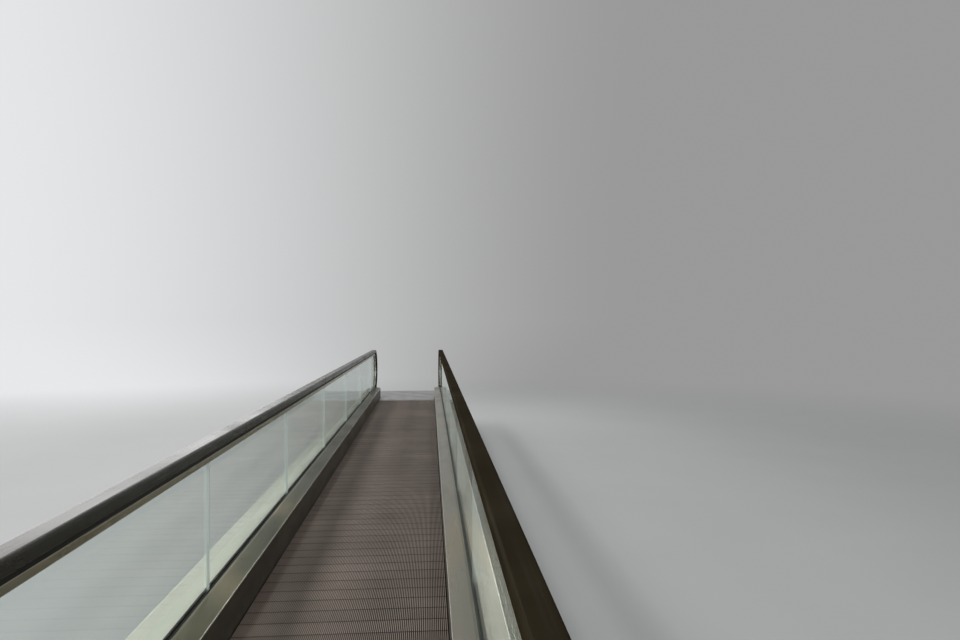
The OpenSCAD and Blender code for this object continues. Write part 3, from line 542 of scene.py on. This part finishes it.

# %% [markdown]
# ## Brushed deck steel
#
# Decks are stainless sheet brushed along the walkway. A brushed surface is a mirror that is
# blurred across the brushing, so the finish is fully metallic, and what makes it read as
# brushed is a noise stretched four hundred times along Y, in the roughness and in the bump.
# Broad faint clouds are what hands and cleaning leave, and a few dull scuffs lie on top. The
# inner decks are rubbed the most. They also carry painted light that the outer decks lack: the
# left deck is a darker, browner copy that paints in the shade on that side, golden patches are
# painted reflections, and a painted highlight runs along the lip.

# %% Deck steel


def brushed_steel(name, light, dark, rough, clouds=0.25):
    steel = Finish(name)
    strokes = steel.noise(1.0, 4, steel.stretched(900, 2.2, 900), 0.65)
    cloud = steel.noise(1.6, 4, steel.stretched(3.0, 1.0, 3.0)).smoothly(0.3, 0.75)
    scuffs = steel.noise(1.0, 5, steel.stretched(60, 9, 60), 0.7).smoothly(0.62, 0.72)
    shade = strokes * 0.45 + cloud * clouds
    tone = steel.mix(light, dark, shade)
    worn = strokes * 0.16 + cloud * 0.1 + scuffs * 0.18 + rough
    relief = steel.bump(strokes, 0.0002, 0.35)
    return steel, tone, worn, relief


lip_low, lip_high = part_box("inner_deck_right")
print("inner deck from", round(lip_low.x, 4), "to", round(lip_high.x, 4), "m off the middle")

# %% Inner decks
LIP_HIGHLIGHT_W, LIP_HIGHLIGHT_BLUR = 0.0035, 0.0015


def inner_deck_steel(name, light, dark):
    sheet, tone, worn, relief = brushed_steel(name, light, dark, 0.20)
    # painted reflection: golden patches that stand in for reflections of warm surroundings
    painted_golden_reflection = sheet.noise(1.0, 3, sheet.stretched(2.0, 0.8, 2.0)).smoothly(0.48, 0.70)
    tone = sheet.mix(tone, (0.36, 0.28, 0.155), painted_golden_reflection * 0.55)
    # painted highlight: a bright line along the lip, stronger in patches
    lip = (lip_low.x + LIP_HIGHLIGHT_W - abs(sheet.x)).smoothly(0.0, LIP_HIGHLIGHT_BLUR)
    rubbed = sheet.noise(1.0, 4, sheet.stretched(30, 5, 30)).smoothly(0.30, 0.60)
    tone = sheet.mix(tone, (0.74, 0.72, 0.64), lip * (rubbed * 0.6 + 0.4))
    return sheet.output(
        sheet.principled(Base_Color=tone, Metallic=1.0, Roughness=worn - lip * 0.08, Normal=relief)
    )


# painted shade and light: the left copy is darker and browner for the shaded side, the right copy
# paler for the lit side
shaded_left_deck_finish = inner_deck_steel(
    "inner_deck_steel_left", (0.105, 0.094, 0.046), (0.050, 0.045, 0.024)
)
lit_right_deck_finish = inner_deck_steel(
    "inner_deck_steel_right", (0.30, 0.285, 0.225), (0.155, 0.148, 0.115)
)
dress(shaded_left_deck_finish, "inner_deck_left")
dress(lit_right_deck_finish, "inner_deck_right")

# %% Outer decks
outer, tone, worn, relief = brushed_steel(
    "outer_deck_steel", (0.68, 0.68, 0.58), (0.46, 0.46, 0.39), 0.24
)
deck_finish = outer.output(
    outer.principled(Base_Color=tone, Metallic=1.0, Roughness=worn, Normal=relief)
)
dress(deck_finish, "outer_deck_left", "outer_deck_right", "deck_end_caps")

# %% [markdown]
# ## Handrail guide
#
# The profile that carries the handrail grips the glass with its lower half, which is bare
# brushed steel with a painted highlight along both edges. Its upper half is painted black as
# the shadow under the moving rail. Two profiles could be modelled, but their outer faces would be
# one plane, so the finish splits it by the depth below the rail. On the newels that depth is
# measured towards their centre, which is why it comes from the distance to it.

# %% Guide finish
NEWEL_Y = 6.1
HANDRAIL_TOP = 0.015
SHADOW_BAND_DEPTH, SHADOW_BAND_BLUR = 0.058, 0.0005
UPPER_HIGHLIGHT_END = 0.0610
LOWER_HIGHLIGHT_START = 0.0830
rail_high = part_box("handrail_right")[1]
newel_r = rail_high.y - NEWEL_Y - HANDRAIL_TOP
newel_z = rail_high.z - HANDRAIL_TOP - newel_r
guide, tone, worn, relief = brushed_steel(
    "guide_steel", (0.52, 0.475, 0.36), (0.33, 0.30, 0.225), 0.16
)
beyond = (abs(guide.y) - NEWEL_Y).larger(0)
rise = guide.z - newel_z
depth = newel_r - (beyond * beyond + rise * rise).root()
# painted shadow: the upper half of the guide, under the rail, is black
black = 1 - depth.smoothly(SHADOW_BAND_DEPTH - SHADOW_BAND_BLUR, SHADOW_BAND_DEPTH + SHADOW_BAND_BLUR)
# painted highlights: bright lines along both edges of the steel half
painted_upper_highlight = (depth > SHADOW_BAND_DEPTH + SHADOW_BAND_BLUR) * (depth < UPPER_HIGHLIGHT_END)
painted_lower_highlight = depth > LOWER_HIGHLIGHT_START
tone = guide.mix(tone, (0.88, 0.85, 0.74), painted_upper_highlight * 0.6 + painted_lower_highlight * 0.75)
tone = guide.mix(tone, (0.016, 0.015, 0.014), black)
guide_finish = guide.output(
    guide.principled(
        Base_Color=tone,
        Metallic=1 - black,
        Roughness=worn + black * 0.30,
        Normal=relief,
        Specular_IOR_Level=0.3,
    )
)
dress(guide_finish, "handrail_guide_left", "handrail_guide_right")
print("newel radius", round(newel_r, 4), "centre", round(newel_z, 4))

# %% [markdown]
# ## Skirt steel
#
# The skirts beside the pallets have a dark satin coating against scuffing shoes. They come in
# panels of one glass bay, so a fine butt joint crosses them at each bay, and the lowest
# hand's breadth is rubbed and dusty where shoes reach it.

# %% Skirt finish
BAY = 1.8
BUTT_JOINT = 0.003
SCUFF_H = 0.10
skirt, tone, worn, relief = brushed_steel(
    "skirt_steel", (0.105, 0.098, 0.072), (0.052, 0.048, 0.036), 0.30
)
joint = skirt.line(skirt.y, BAY, BUTT_JOINT, BAY / 2)
near_tread = (tread + SCUFF_H - skirt.z).smoothly(0.0, SCUFF_H)
rubbed = near_tread * skirt.noise(14, 4).smoothly(0.4, 0.7)
tone = skirt.mix(tone, (0.30, 0.28, 0.25), rubbed * 0.5)
tone = skirt.mix(tone, (0.01, 0.01, 0.01), joint)
skirt_finish = skirt.output(
    skirt.principled(Base_Color=tone, Metallic=0.8, Roughness=worn + rubbed * 0.15, Normal=relief)
)
dress(skirt_finish, "skirt_left", "skirt_right")

# %% [markdown]
# ## Glass
#
# Toughened glass 12 mm thick is clear face on and a mirror at a grazing angle, and along a
# walkway nearly every look at it is grazing. A Fresnel node gives that change, as the factor
# between clear transparency and a sharp gloss. Light isn't bent on its way in here, so the
# inner side takes a second Fresnel node with the inverse index, or it would mirror
# everything. The ground edges scatter light: they show as the pale green lines at each joint,
# so faces that point along the walkway or up get a pale satin finish by their normal.

# %% Glass finish
GLASS_INDEX = 1.5
glass = Finish("clear_glass")
behind = glass.node("ShaderNodeNewGeometry", out="Backfacing")
outside = glass.node("ShaderNodeFresnel", {}, {"IOR": GLASS_INDEX})
inside = glass.node("ShaderNodeFresnel", {}, {"IOR": 1 / GLASS_INDEX})
mirror = outside * (1 - behind) + inside * behind
smudge = glass.noise(3.0, 4).smoothly(0.45, 0.8)
clear = glass.node("ShaderNodeBsdfTransparent", {}, {"Color": (0.935, 0.972, 0.958)})
sheen = smudge * 0.03 + 0.012
gloss = glass.node(
    "ShaderNodeBsdfAnisotropic", {}, {"Color": (0.95, 0.98, 0.97), "Roughness": sheen}
)
pane = glass.node("ShaderNodeMixShader", {}, {0: mirror, 1: clear, 2: gloss})
edge = abs(glass.facing()[0]) < 0.5
ground_tone = glass.mix((0.68, 0.78, 0.73), (0.80, 0.86, 0.83), glass.noise(300, 2))
ground = glass.principled(Base_Color=ground_tone, Roughness=0.35)
glass_finish = glass.output(glass.node("ShaderNodeMixShader", {}, {0: edge, 1: pane, 2: ground}))
dress(glass_finish, "glass_left", "glass_right")

# %% [markdown]
# ## Handrail rubber
#
# New handrails are satin black. Thousands of hands polish them, with fine lengthwise streaks
# and dull patches, so the finish is a mix of a dull and a polished rubber, more dull in the
# streaks. The left rail is the more polished of the two. The right one is less glossy and
# browner, a painted reflection of the darker, brownish surroundings on that side. The bright
# band on the left one is no colour: it is the soft box in its gloss.

# %% Handrail finish


def handrail_rubber(name, polish, dark, light):
    rubber = Finish(name)
    streaks = rubber.noise(1.0, 4, rubber.stretched(260, 1.2, 260), 0.6)
    hands = rubber.noise(2.0, 4).smoothly(0.35, 0.75)
    lint = rubber.noise(700, 3).smoothly(0.55, 0.8)
    tone = rubber.mix(dark, light, streaks * 0.5 + hands * 0.4)
    tone = rubber.mix(tone, (0.055, 0.052, 0.048), lint * 0.25)
    matt = streaks * 0.12 + hands * 0.10 + 0.14
    relief = rubber.bump(rubber.noise(160, 3), 0.0004, 0.15)
    dull = rubber.principled(Base_Color=tone, Roughness=0.7, Specular_IOR_Level=0.0)
    polished = rubber.principled(
        Base_Color=tone, Roughness=matt, Normal=relief, Specular_Tint=(1.0, 0.90, 0.72)
    )
    shine = polish - streaks * 0.25
    return rubber.output(rubber.node("ShaderNodeMixShader", {}, {0: shine, 1: dull, 2: polished}))


left_rubber = handrail_rubber(
    "handrail_rubber_left", 0.90, (0.010, 0.010, 0.009), (0.030, 0.028, 0.024)
)
# painted reflection: the right rail is browner and less glossy, for the dark brownish reflection
# on that side
right_rubber_painted_sheen = handrail_rubber(
    "handrail_rubber_right", 0.14, (0.014, 0.011, 0.006), (0.040, 0.031, 0.018)
)
dress(left_rubber, "handrail_left")
dress(right_rubber_painted_sheen, "handrail_right")

# %% [markdown]
# ## Black gaskets and collars
#
# The strips at the foot of the glass are matt black rubber, grey with dust in places, and
# lighter grey along the right side. The inlet collars are moulded plastic with the fine grain of
# its mould.

# %% Gaskets
gasket = Finish("gasket_rubber")
dust = gasket.noise(1.0, 4, gasket.stretched(40, 3, 40)).smoothly(0.45, 0.75)
tone = gasket.mix((0.009, 0.009, 0.009), (0.04, 0.038, 0.034), dust * 0.6)
# lighter grey along the whole right side
tone = gasket.mix(tone, (0.075, 0.078, 0.065), (gasket.x > 0) * (dust * 0.4 + 0.5))
gasket_finish = gasket.output(
    gasket.principled(Base_Color=tone, Roughness=dust * 0.2 + 0.65, Specular_IOR_Level=0.15)
)
dress(gasket_finish, "glass_gaskets")

# %% Collars
plastic = Finish("black_plastic")
pebble = plastic.node("ShaderNodeTexVoronoi", {}, {"Vector": plastic.place, "Scale": 650})
tone = plastic.mix((0.016, 0.016, 0.017), (0.035, 0.035, 0.036), plastic.noise(9, 3))
plastic_finish = plastic.output(
    plastic.principled(
        Base_Color=tone, Roughness=0.48, Normal=plastic.bump(pebble, 0.0004, 0.5)
    )
)
dress(plastic_finish, "handrail_inlets")

# %% [markdown]
# ## Landing steel and comb aluminium
#
# Landing covers and comb plates are stainless with fine ribs along the travel, for grip. The
# ribs are lines in the bump, and the tops of the covers are darker between them. The combs are
# bare aluminium: their teeth are fine enough in the solids, so this finish only adds machining
# marks and wear.

# %% Landing steel
COVER_RIB = 0.009
cover = Finish("cover_steel")
wave = (abs((cover.x / COVER_RIB).fraction() - 0.5) * 2).smoothly(0.25, 0.6)
on_top = cover.facing()[2] > 0.9
wear = cover.noise(3.1, 5).smoothly(0.35, 0.7)
scratches = cover.noise(1.0, 4, cover.stretched(40, 700, 40), 0.7).smoothly(0.6, 0.8)
tone = cover.mix((0.53, 0.53, 0.52), (0.36, 0.355, 0.34), wear * 0.6 + scratches * 0.3)
# darker between the ribs on top faces
tone = cover.mix(tone, (0.09, 0.085, 0.08), (1 - wave) * on_top * 0.75)
cover_finish = cover.output(
    cover.principled(
        Base_Color=tone,
        Metallic=0.9,
        Roughness=wear * 0.15 + 0.3,
        Normal=cover.bump(wave * on_top, 0.0012, 0.8),
    )
)
dress(cover_finish, "floor_covers_near", "floor_covers_far", "comb_plates")

# %% Comb aluminium
comb = Finish("comb_aluminium")
cuts = comb.noise(1.0, 3, comb.stretched(30, 800, 30), 0.6)
wear = comb.noise(9, 4).smoothly(0.4, 0.75)
tone = comb.mix((0.62, 0.62, 0.61), (0.40, 0.395, 0.38), cuts * 0.4 + wear * 0.45)
marks = comb.bump(cuts, 0.0002, 0.4)
comb_finish = comb.output(
    comb.principled(Base_Color=tone, Metallic=1.0, Roughness=cuts * 0.2 + 0.28, Normal=marks)
)
dress(comb_finish, "comb_segments_near", "comb_segments_far", "glass_clamps")

# %% [markdown]
# ## Painted truss, frames and machine
#
# The truss is welded and painted with a thick satin paint that shows a faint orange peel. Dust
# settles on what faces up, and the paint thins to rust at a few spots near the floor. The
# frames are primed in a warmer grey, and gearbox and bearings have machine paint.

# %% Paints
RUST_BELOW, RUST_FADE = 0.35, 0.25


def paint(name, light, dark, rough, rust=0.0):
    coat = Finish(name)
    peel = coat.noise(260, 2)
    patch = coat.noise(3.5, 4)
    dust = coat.facing()[2].smoothly(0.4, 1.0) * coat.noise(22, 4).smoothly(0.3, 0.7)
    tone = coat.mix(light, dark, patch)
    tone = coat.mix(tone, (0.42, 0.40, 0.36), dust * 0.55)
    low = (RUST_BELOW - coat.z).smoothly(0.0, RUST_FADE)
    spots = coat.noise(38, 5, None, 0.7).smoothly(0.66, 0.72) * low * rust
    tone = coat.mix(tone, (0.20, 0.085, 0.035), spots)
    return coat.output(
        coat.principled(
            Base_Color=tone,
            Roughness=dust * 0.3 + spots * 0.3 + rough,
            Normal=coat.bump(peel, 0.0005, 0.35),
        )
    )


truss_finish = paint("truss_paint", (0.24, 0.26, 0.28), (0.17, 0.185, 0.20), 0.36, 1.0)
frame_finish = paint("frame_paint", (0.40, 0.39, 0.35), (0.31, 0.30, 0.27), 0.5)
machine_finish = paint("bearing_paint", (0.10, 0.17, 0.23), (0.07, 0.12, 0.17), 0.32)
dress(truss_finish, "truss_side_left", "truss_side_right", "truss_end_plates",
      "truss_bottom_beams", "drive_bedplate")
dress(frame_finish, "cross_frames")
dress(machine_finish, "shaft_bearings", "drive_unit")

# %% [markdown]
# ## Zinc, rolled steel and chain
#
# Zinc coating has spangles: a Voronoi pattern of flat grains in slightly different greys does
# that. Track rails and shafts are plain rolled steel, bright where rollers run, and the
# chains are dark with oil that catches dust.

# %% Zinc
zinc = Finish("zinc_steel")
grains = zinc.node("ShaderNodeTexVoronoi", {}, {"Vector": zinc.place, "Scale": 95}, out="Color")
shade = zinc.node("ShaderNodeSeparateColor", {}, {0: grains}, out=0)
bloom = zinc.noise(5, 4).smoothly(0.4, 0.75)
tone = zinc.mix((0.56, 0.57, 0.58), (0.40, 0.41, 0.42), shade)
tone = zinc.mix(tone, (0.62, 0.62, 0.60), bloom * 0.4)
zinc_finish = zinc.output(
    zinc.principled(Base_Color=tone, Metallic=0.85, Roughness=shade * 0.14 + bloom * 0.2 + 0.3)
)
dress(zinc_finish, "support_feet", "oil_pan", "landing_frames", "balustrade_brackets")

# %% Tracks and shafts
track, tone, worn, relief = brushed_steel(
    "track_steel", (0.55, 0.54, 0.52), (0.32, 0.31, 0.29), 0.22, 0.5
)
track_finish = track.output(
    track.principled(Base_Color=tone, Metallic=1.0, Roughness=worn, Normal=relief)
)
dress(track_finish, "upper_tracks", "return_tracks", "sprocket_shaft_near",
      "sprocket_shaft_far", "handrail_rollers")

# %% Chains
chain = Finish("chain_steel")
oil = chain.noise(12, 4).smoothly(0.35, 0.7)
grit = chain.noise(500, 3)
tone = chain.mix((0.10, 0.095, 0.085), (0.035, 0.03, 0.025), oil)
dry = (1 - oil) * 0.25 + 0.25
relief = chain.bump(grit, 0.0003, 0.5)
chain_finish = chain.output(
    chain.principled(Base_Color=tone, Metallic=0.7, Roughness=dry, Normal=relief)
)
dress(chain_finish, "pallet_chain_left", "pallet_chain_right", "drive_chain")

# %% [markdown]
# ## Drive chain
#
# The gearbox turns the far shaft through a duplex roller chain. The frame has it as one smooth
# band, which is enough for its place and its mass. A pattern in the finish could mark the links,
# but it would look painted on from the side, so the links are built: pins stand at even steps
# along the loop, each carries two rollers, and narrow-waisted plates join it to the next pin,
# outer plates and inner plates in turn. The step is rounded so that the loop closes.

# %% The path of the drive chain
BAND_T = 0.014
PINION_BAND_R = 0.0653
low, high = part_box("drive_chain")
wheel_path_r = (high.z - low.z - BAND_T) / 2
pinion_path_r = PINION_BAND_R + BAND_T / 2
hub_z = (low.z + high.z) / 2
wheel_y = low.y + BAND_T / 2 + wheel_path_r
pinion_y = high.y - BAND_T / 2 - pinion_path_r
chain_x = (low.x + high.x) / 2
chain_half_w = (high.x - low.x) / 2
tilt = math.asin((wheel_path_r - pinion_path_r) / (pinion_y - wheel_y))
wheel_arc = wheel_path_r * (math.pi + 2 * tilt)
pinion_arc = pinion_path_r * (math.pi - 2 * tilt)
run = (pinion_y - wheel_y) * math.cos(tilt)
loop_l = wheel_arc + pinion_arc + 2 * run


def on_circle(y, radius, angle):
    return Vector((chain_x, y + radius * math.cos(angle), hub_z + radius * math.sin(angle)))


def on_loop(s):
    """The point of the chain's path at the distance s from the top of the wheel."""
    if s < wheel_arc:
        return on_circle(wheel_y, wheel_path_r, math.pi / 2 - tilt + s / wheel_path_r)
    s -= wheel_arc
    if s < run:
        start = on_circle(wheel_y, wheel_path_r, tilt - math.pi / 2)
        return start + Vector((0, math.cos(tilt), math.sin(tilt))) * s
    s -= run
    if s < pinion_arc:
        return on_circle(pinion_y, pinion_path_r, tilt - math.pi / 2 + s / pinion_path_r)
    s -= pinion_arc
    start = on_circle(pinion_y, pinion_path_r, math.pi / 2 - tilt)
    return start + Vector((0, -math.cos(tilt), math.sin(tilt))) * s


print("the drive chain is", round(loop_l, 3), "m long")

# %% Plates, pins and rollers
PLATE_R = 0.0055
PLATE_WAIST = 0.0042
PLATE_T = 0.0024
PLATE_GAP = 0.0002
PLATE_INSET = 0.0008
PIN_R = 0.0022
ROLLER_R = 0.0050
inner_face = chain_half_w - PLATE_INSET - 2 * PLATE_T - PLATE_GAP
middle_face = PLATE_T / 2 + PLATE_GAP
outer_plates = (chain_half_w - PLATE_INSET - PLATE_T, -PLATE_T / 2, PLATE_INSET - chain_half_w)
inner_plates = (inner_face, middle_face, -middle_face - PLATE_T, -inner_face - PLATE_T)
roller_l = inner_face - middle_face - PLATE_T


def plate(length):
    """A link plate round two pins, with a waist between them."""
    half = [math.radians(90 + 22.5 * i) for i in range(9)]
    first = [(PLATE_R * math.cos(a), PLATE_R * math.sin(a)) for a in half]
    last = [(length - x, -y) for x, y in first]
    return first + [(length / 2, -PLATE_WAIST)] + last + [(length / 2, PLATE_WAIST)]


def add_link(shape, here, ahead, plates):
    """A pin with its two rollers, and the plates that join it to the next pin."""
    u = (ahead - here).normalized()
    v = Vector((0, -u.z, u.y))
    rows = ((0, 0, 1, here.x), (u.y, v.y, 0, here.y), (u.z, v.z, 0, here.z), (0, 0, 0, 1))
    bars = [(plate((ahead - here).length), PLATE_T, x) for x in plates]
    bars.append((ring(PIN_R, 12), 2 * chain_half_w, -chain_half_w))
    bars += [(ring(ROLLER_R, 16), roller_l, x) for x in (middle_face + PLATE_T, -inner_face)]
    for outline, depth, x in bars:
        shape.prism(outline, depth, Matrix(rows) @ Matrix.Translation((0, 0, x)))


print("rollers", round(roller_l * 1000, 2), "mm long")

# %% Drive chain
LINK_STEP = 0.0254
pin_count = 2 * round(loop_l / LINK_STEP / 2)
pins = [on_loop(i * loop_l / pin_count) for i in range(pin_count)]
links = Shape()
for i, here in enumerate(pins):
    add_link(links, here, pins[(i + 1) % pin_count], inner_plates if i % 2 else outer_plates)
links.piece("drive_chain_links", chain_finish, "chain_steel", "drive_chain")

# %% [markdown]
# ## Screws and bolts
#
# Small fasteners tell how the thing goes together. Flat-headed screws hold the inner decks,
# their end caps, the inlet collars, the combs and the landing covers, and hexagon bolts hold
# the bearings, the gearbox and the motor. Bevelled discs and prisms do for them at this size,
# and each is set on the face that it holds.

# %% Screw and bolt
SCREW_SIDES = 14
BOLT_SIDES = 6
WASHER_SIDES = 16


def aimed(place, axis):
    """Turns z to the given direction and moves to the place."""
    turn = Vector((0, 0, 1)).rotation_difference(Vector(axis)).to_matrix().to_4x4()
    return Matrix.Translation(place) @ turn


def bolt(shape, place, axis, size):
    """A hexagon head on a washer, standing on the face at the place."""
    washer_t = size * 0.18
    shape.prism(ring(size * 1.05, WASHER_SIDES), washer_t, aimed(place, axis))
    top = Vector(place) + Vector(axis) * washer_t
    shape.prism(ring(size * 0.86, BOLT_SIDES), size * 0.6, aimed(top, axis))


def screw(shape, place, axis, radius):
    """A flat head with a shallow dome."""
    n = SCREW_SIDES
    points = [(x, y, 0) for x, y in ring(radius, n)]
    points += [(x, y, radius * 0.16) for x, y in ring(radius * 0.72, n)]
    faces = [(i, (i + 1) % n, n + (i + 1) % n, n + i) for i in range(n)]
    faces.append(tuple(range(n, 2 * n)))
    shape.add(points, faces, aimed(place, axis))


print("screw heads with", SCREW_SIDES, "sides, bolt heads with", BOLT_SIDES)

# %% Deck screws
FIRST_SCREW, LAST_SCREW = 0.15, 0.05
SCREW_STEP = 0.6
FROM_LIP = 0.012
BELOW_TOP = 0.0134
deck_screws = Shape()
screw_x = lip_low.x + FROM_LIP
screw_z = lip_high.z - BELOW_TOP
y = lip_low.y + FIRST_SCREW
while y < lip_high.y - LAST_SCREW:
    for side in (-1, 1):
        screw(deck_screws, (side * screw_x, y, screw_z), (0, 0, 1), 0.0045)
    y += SCREW_STEP
print("a screw every", SCREW_STEP, "m of both inner decks")

# %% Screws of end caps and collars
CAP_SCREW_X = (0.53, 0.77)
CAP_SCREW_UP = (0.03, 0.15)
COLLAR_SCREW_X = (0.5745, 0.6715)
COLLAR_RIM = 0.012
cap_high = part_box("deck_end_caps")[1]
collar_low, collar_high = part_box("handrail_inlets")
for end in (-1, 1):
    cap_y = end * cap_high.y
    for side in (-1, 1):
        for x in CAP_SCREW_X:
            for up in CAP_SCREW_UP:
                screw(deck_screws, (side * x, cap_y, tread + up), (0, end, 0), 0.005)
        for x in COLLAR_SCREW_X:
            for z in (collar_low.z + COLLAR_RIM, collar_high.z - COLLAR_RIM):
                screw(deck_screws, (side * x, end * collar_high.y, z), (0, end, 0), 0.003)
deck_screws.piece("deck_screws", lit_right_deck_finish, "deck_steel")

# %% Landing screws
COMB_COUNT = 5
COMB_W = 2 * PALLET_HALF_W / COMB_COUNT
COMB_SCREW_X = 0.055
COMB_RIM = 0.014
COVER_SCREW_X = (-0.72, -0.24, 0.24, 0.72)
COVER_RIM = 0.04
comb_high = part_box("comb_segments_far")[1]
cover_low, cover_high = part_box("floor_covers_far")
landing_screws = Shape()
for end in (-1, 1):
    for segment in range(COMB_COUNT):
        comb_x = (segment + 0.5) * COMB_W - PALLET_HALF_W
        for x in (comb_x - COMB_SCREW_X, comb_x + COMB_SCREW_X):
            spot = (x, end * (comb_high.y - COMB_RIM), comb_high.z)
            screw(landing_screws, spot, (0, 0, 1), 0.0055)
    for x in COVER_SCREW_X:
        for y in (cover_low.y + COVER_RIM, cover_high.y - COVER_RIM):
            screw(landing_screws, (x, end * y, cover_high.z), (0, 0, 1), 0.007)
landing_screws.piece("landing_screws", comb_finish, "comb_aluminium")

# %% Bolts of the bearings
BEARING_DEPTH = 0.050
BEARING_BOLTS = ((-0.056, -0.066), (0.056, -0.066), (-0.044, 0.044), (0.044, 0.044))
bolts = Shape()
bearing_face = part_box("shaft_bearings")[1].x - BEARING_DEPTH
for end in (-1, 1):
    for side in (-1, 1):
        for dy, dz in BEARING_BOLTS:
            spot = (side * bearing_face, end * TURN_Y + dy, tread - HUB_DROP + dz)
            bolt(bolts, spot, (-side, 0, 0), 0.011)
print("four bolts to each bearing, from the face at", round(bearing_face, 4))

# %% Bolts of the drive unit
FOOT_BOLT_X = (0.32, 0.49)
FOOT_BOLT_Y = 0.152
FOOT_T = 0.020
FLANGE_X, FLANGE_BOLT_R, FLANGE_BOLTS = 0.220, 0.121, 8
unit_low, unit_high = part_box("drive_unit")
drive_y = (unit_low.y + unit_high.y) / 2
for x in FOOT_BOLT_X:
    for dy in (-FOOT_BOLT_Y, FOOT_BOLT_Y):
        bolt(bolts, (x, drive_y + dy, unit_low.z + FOOT_T), (0, 0, 1), 0.013)
for i in range(FLANGE_BOLTS):
    angle = (i + 0.5) * 2 * math.pi / FLANGE_BOLTS
    dy, dz = FLANGE_BOLT_R * math.cos(angle), FLANGE_BOLT_R * math.sin(angle)
    bolt(bolts, (FLANGE_X, drive_y + dy, tread - HUB_DROP + dz), (-1, 0, 0), 0.008)
bolts.piece("hexagon_bolts", zinc_finish, "zinc_steel")
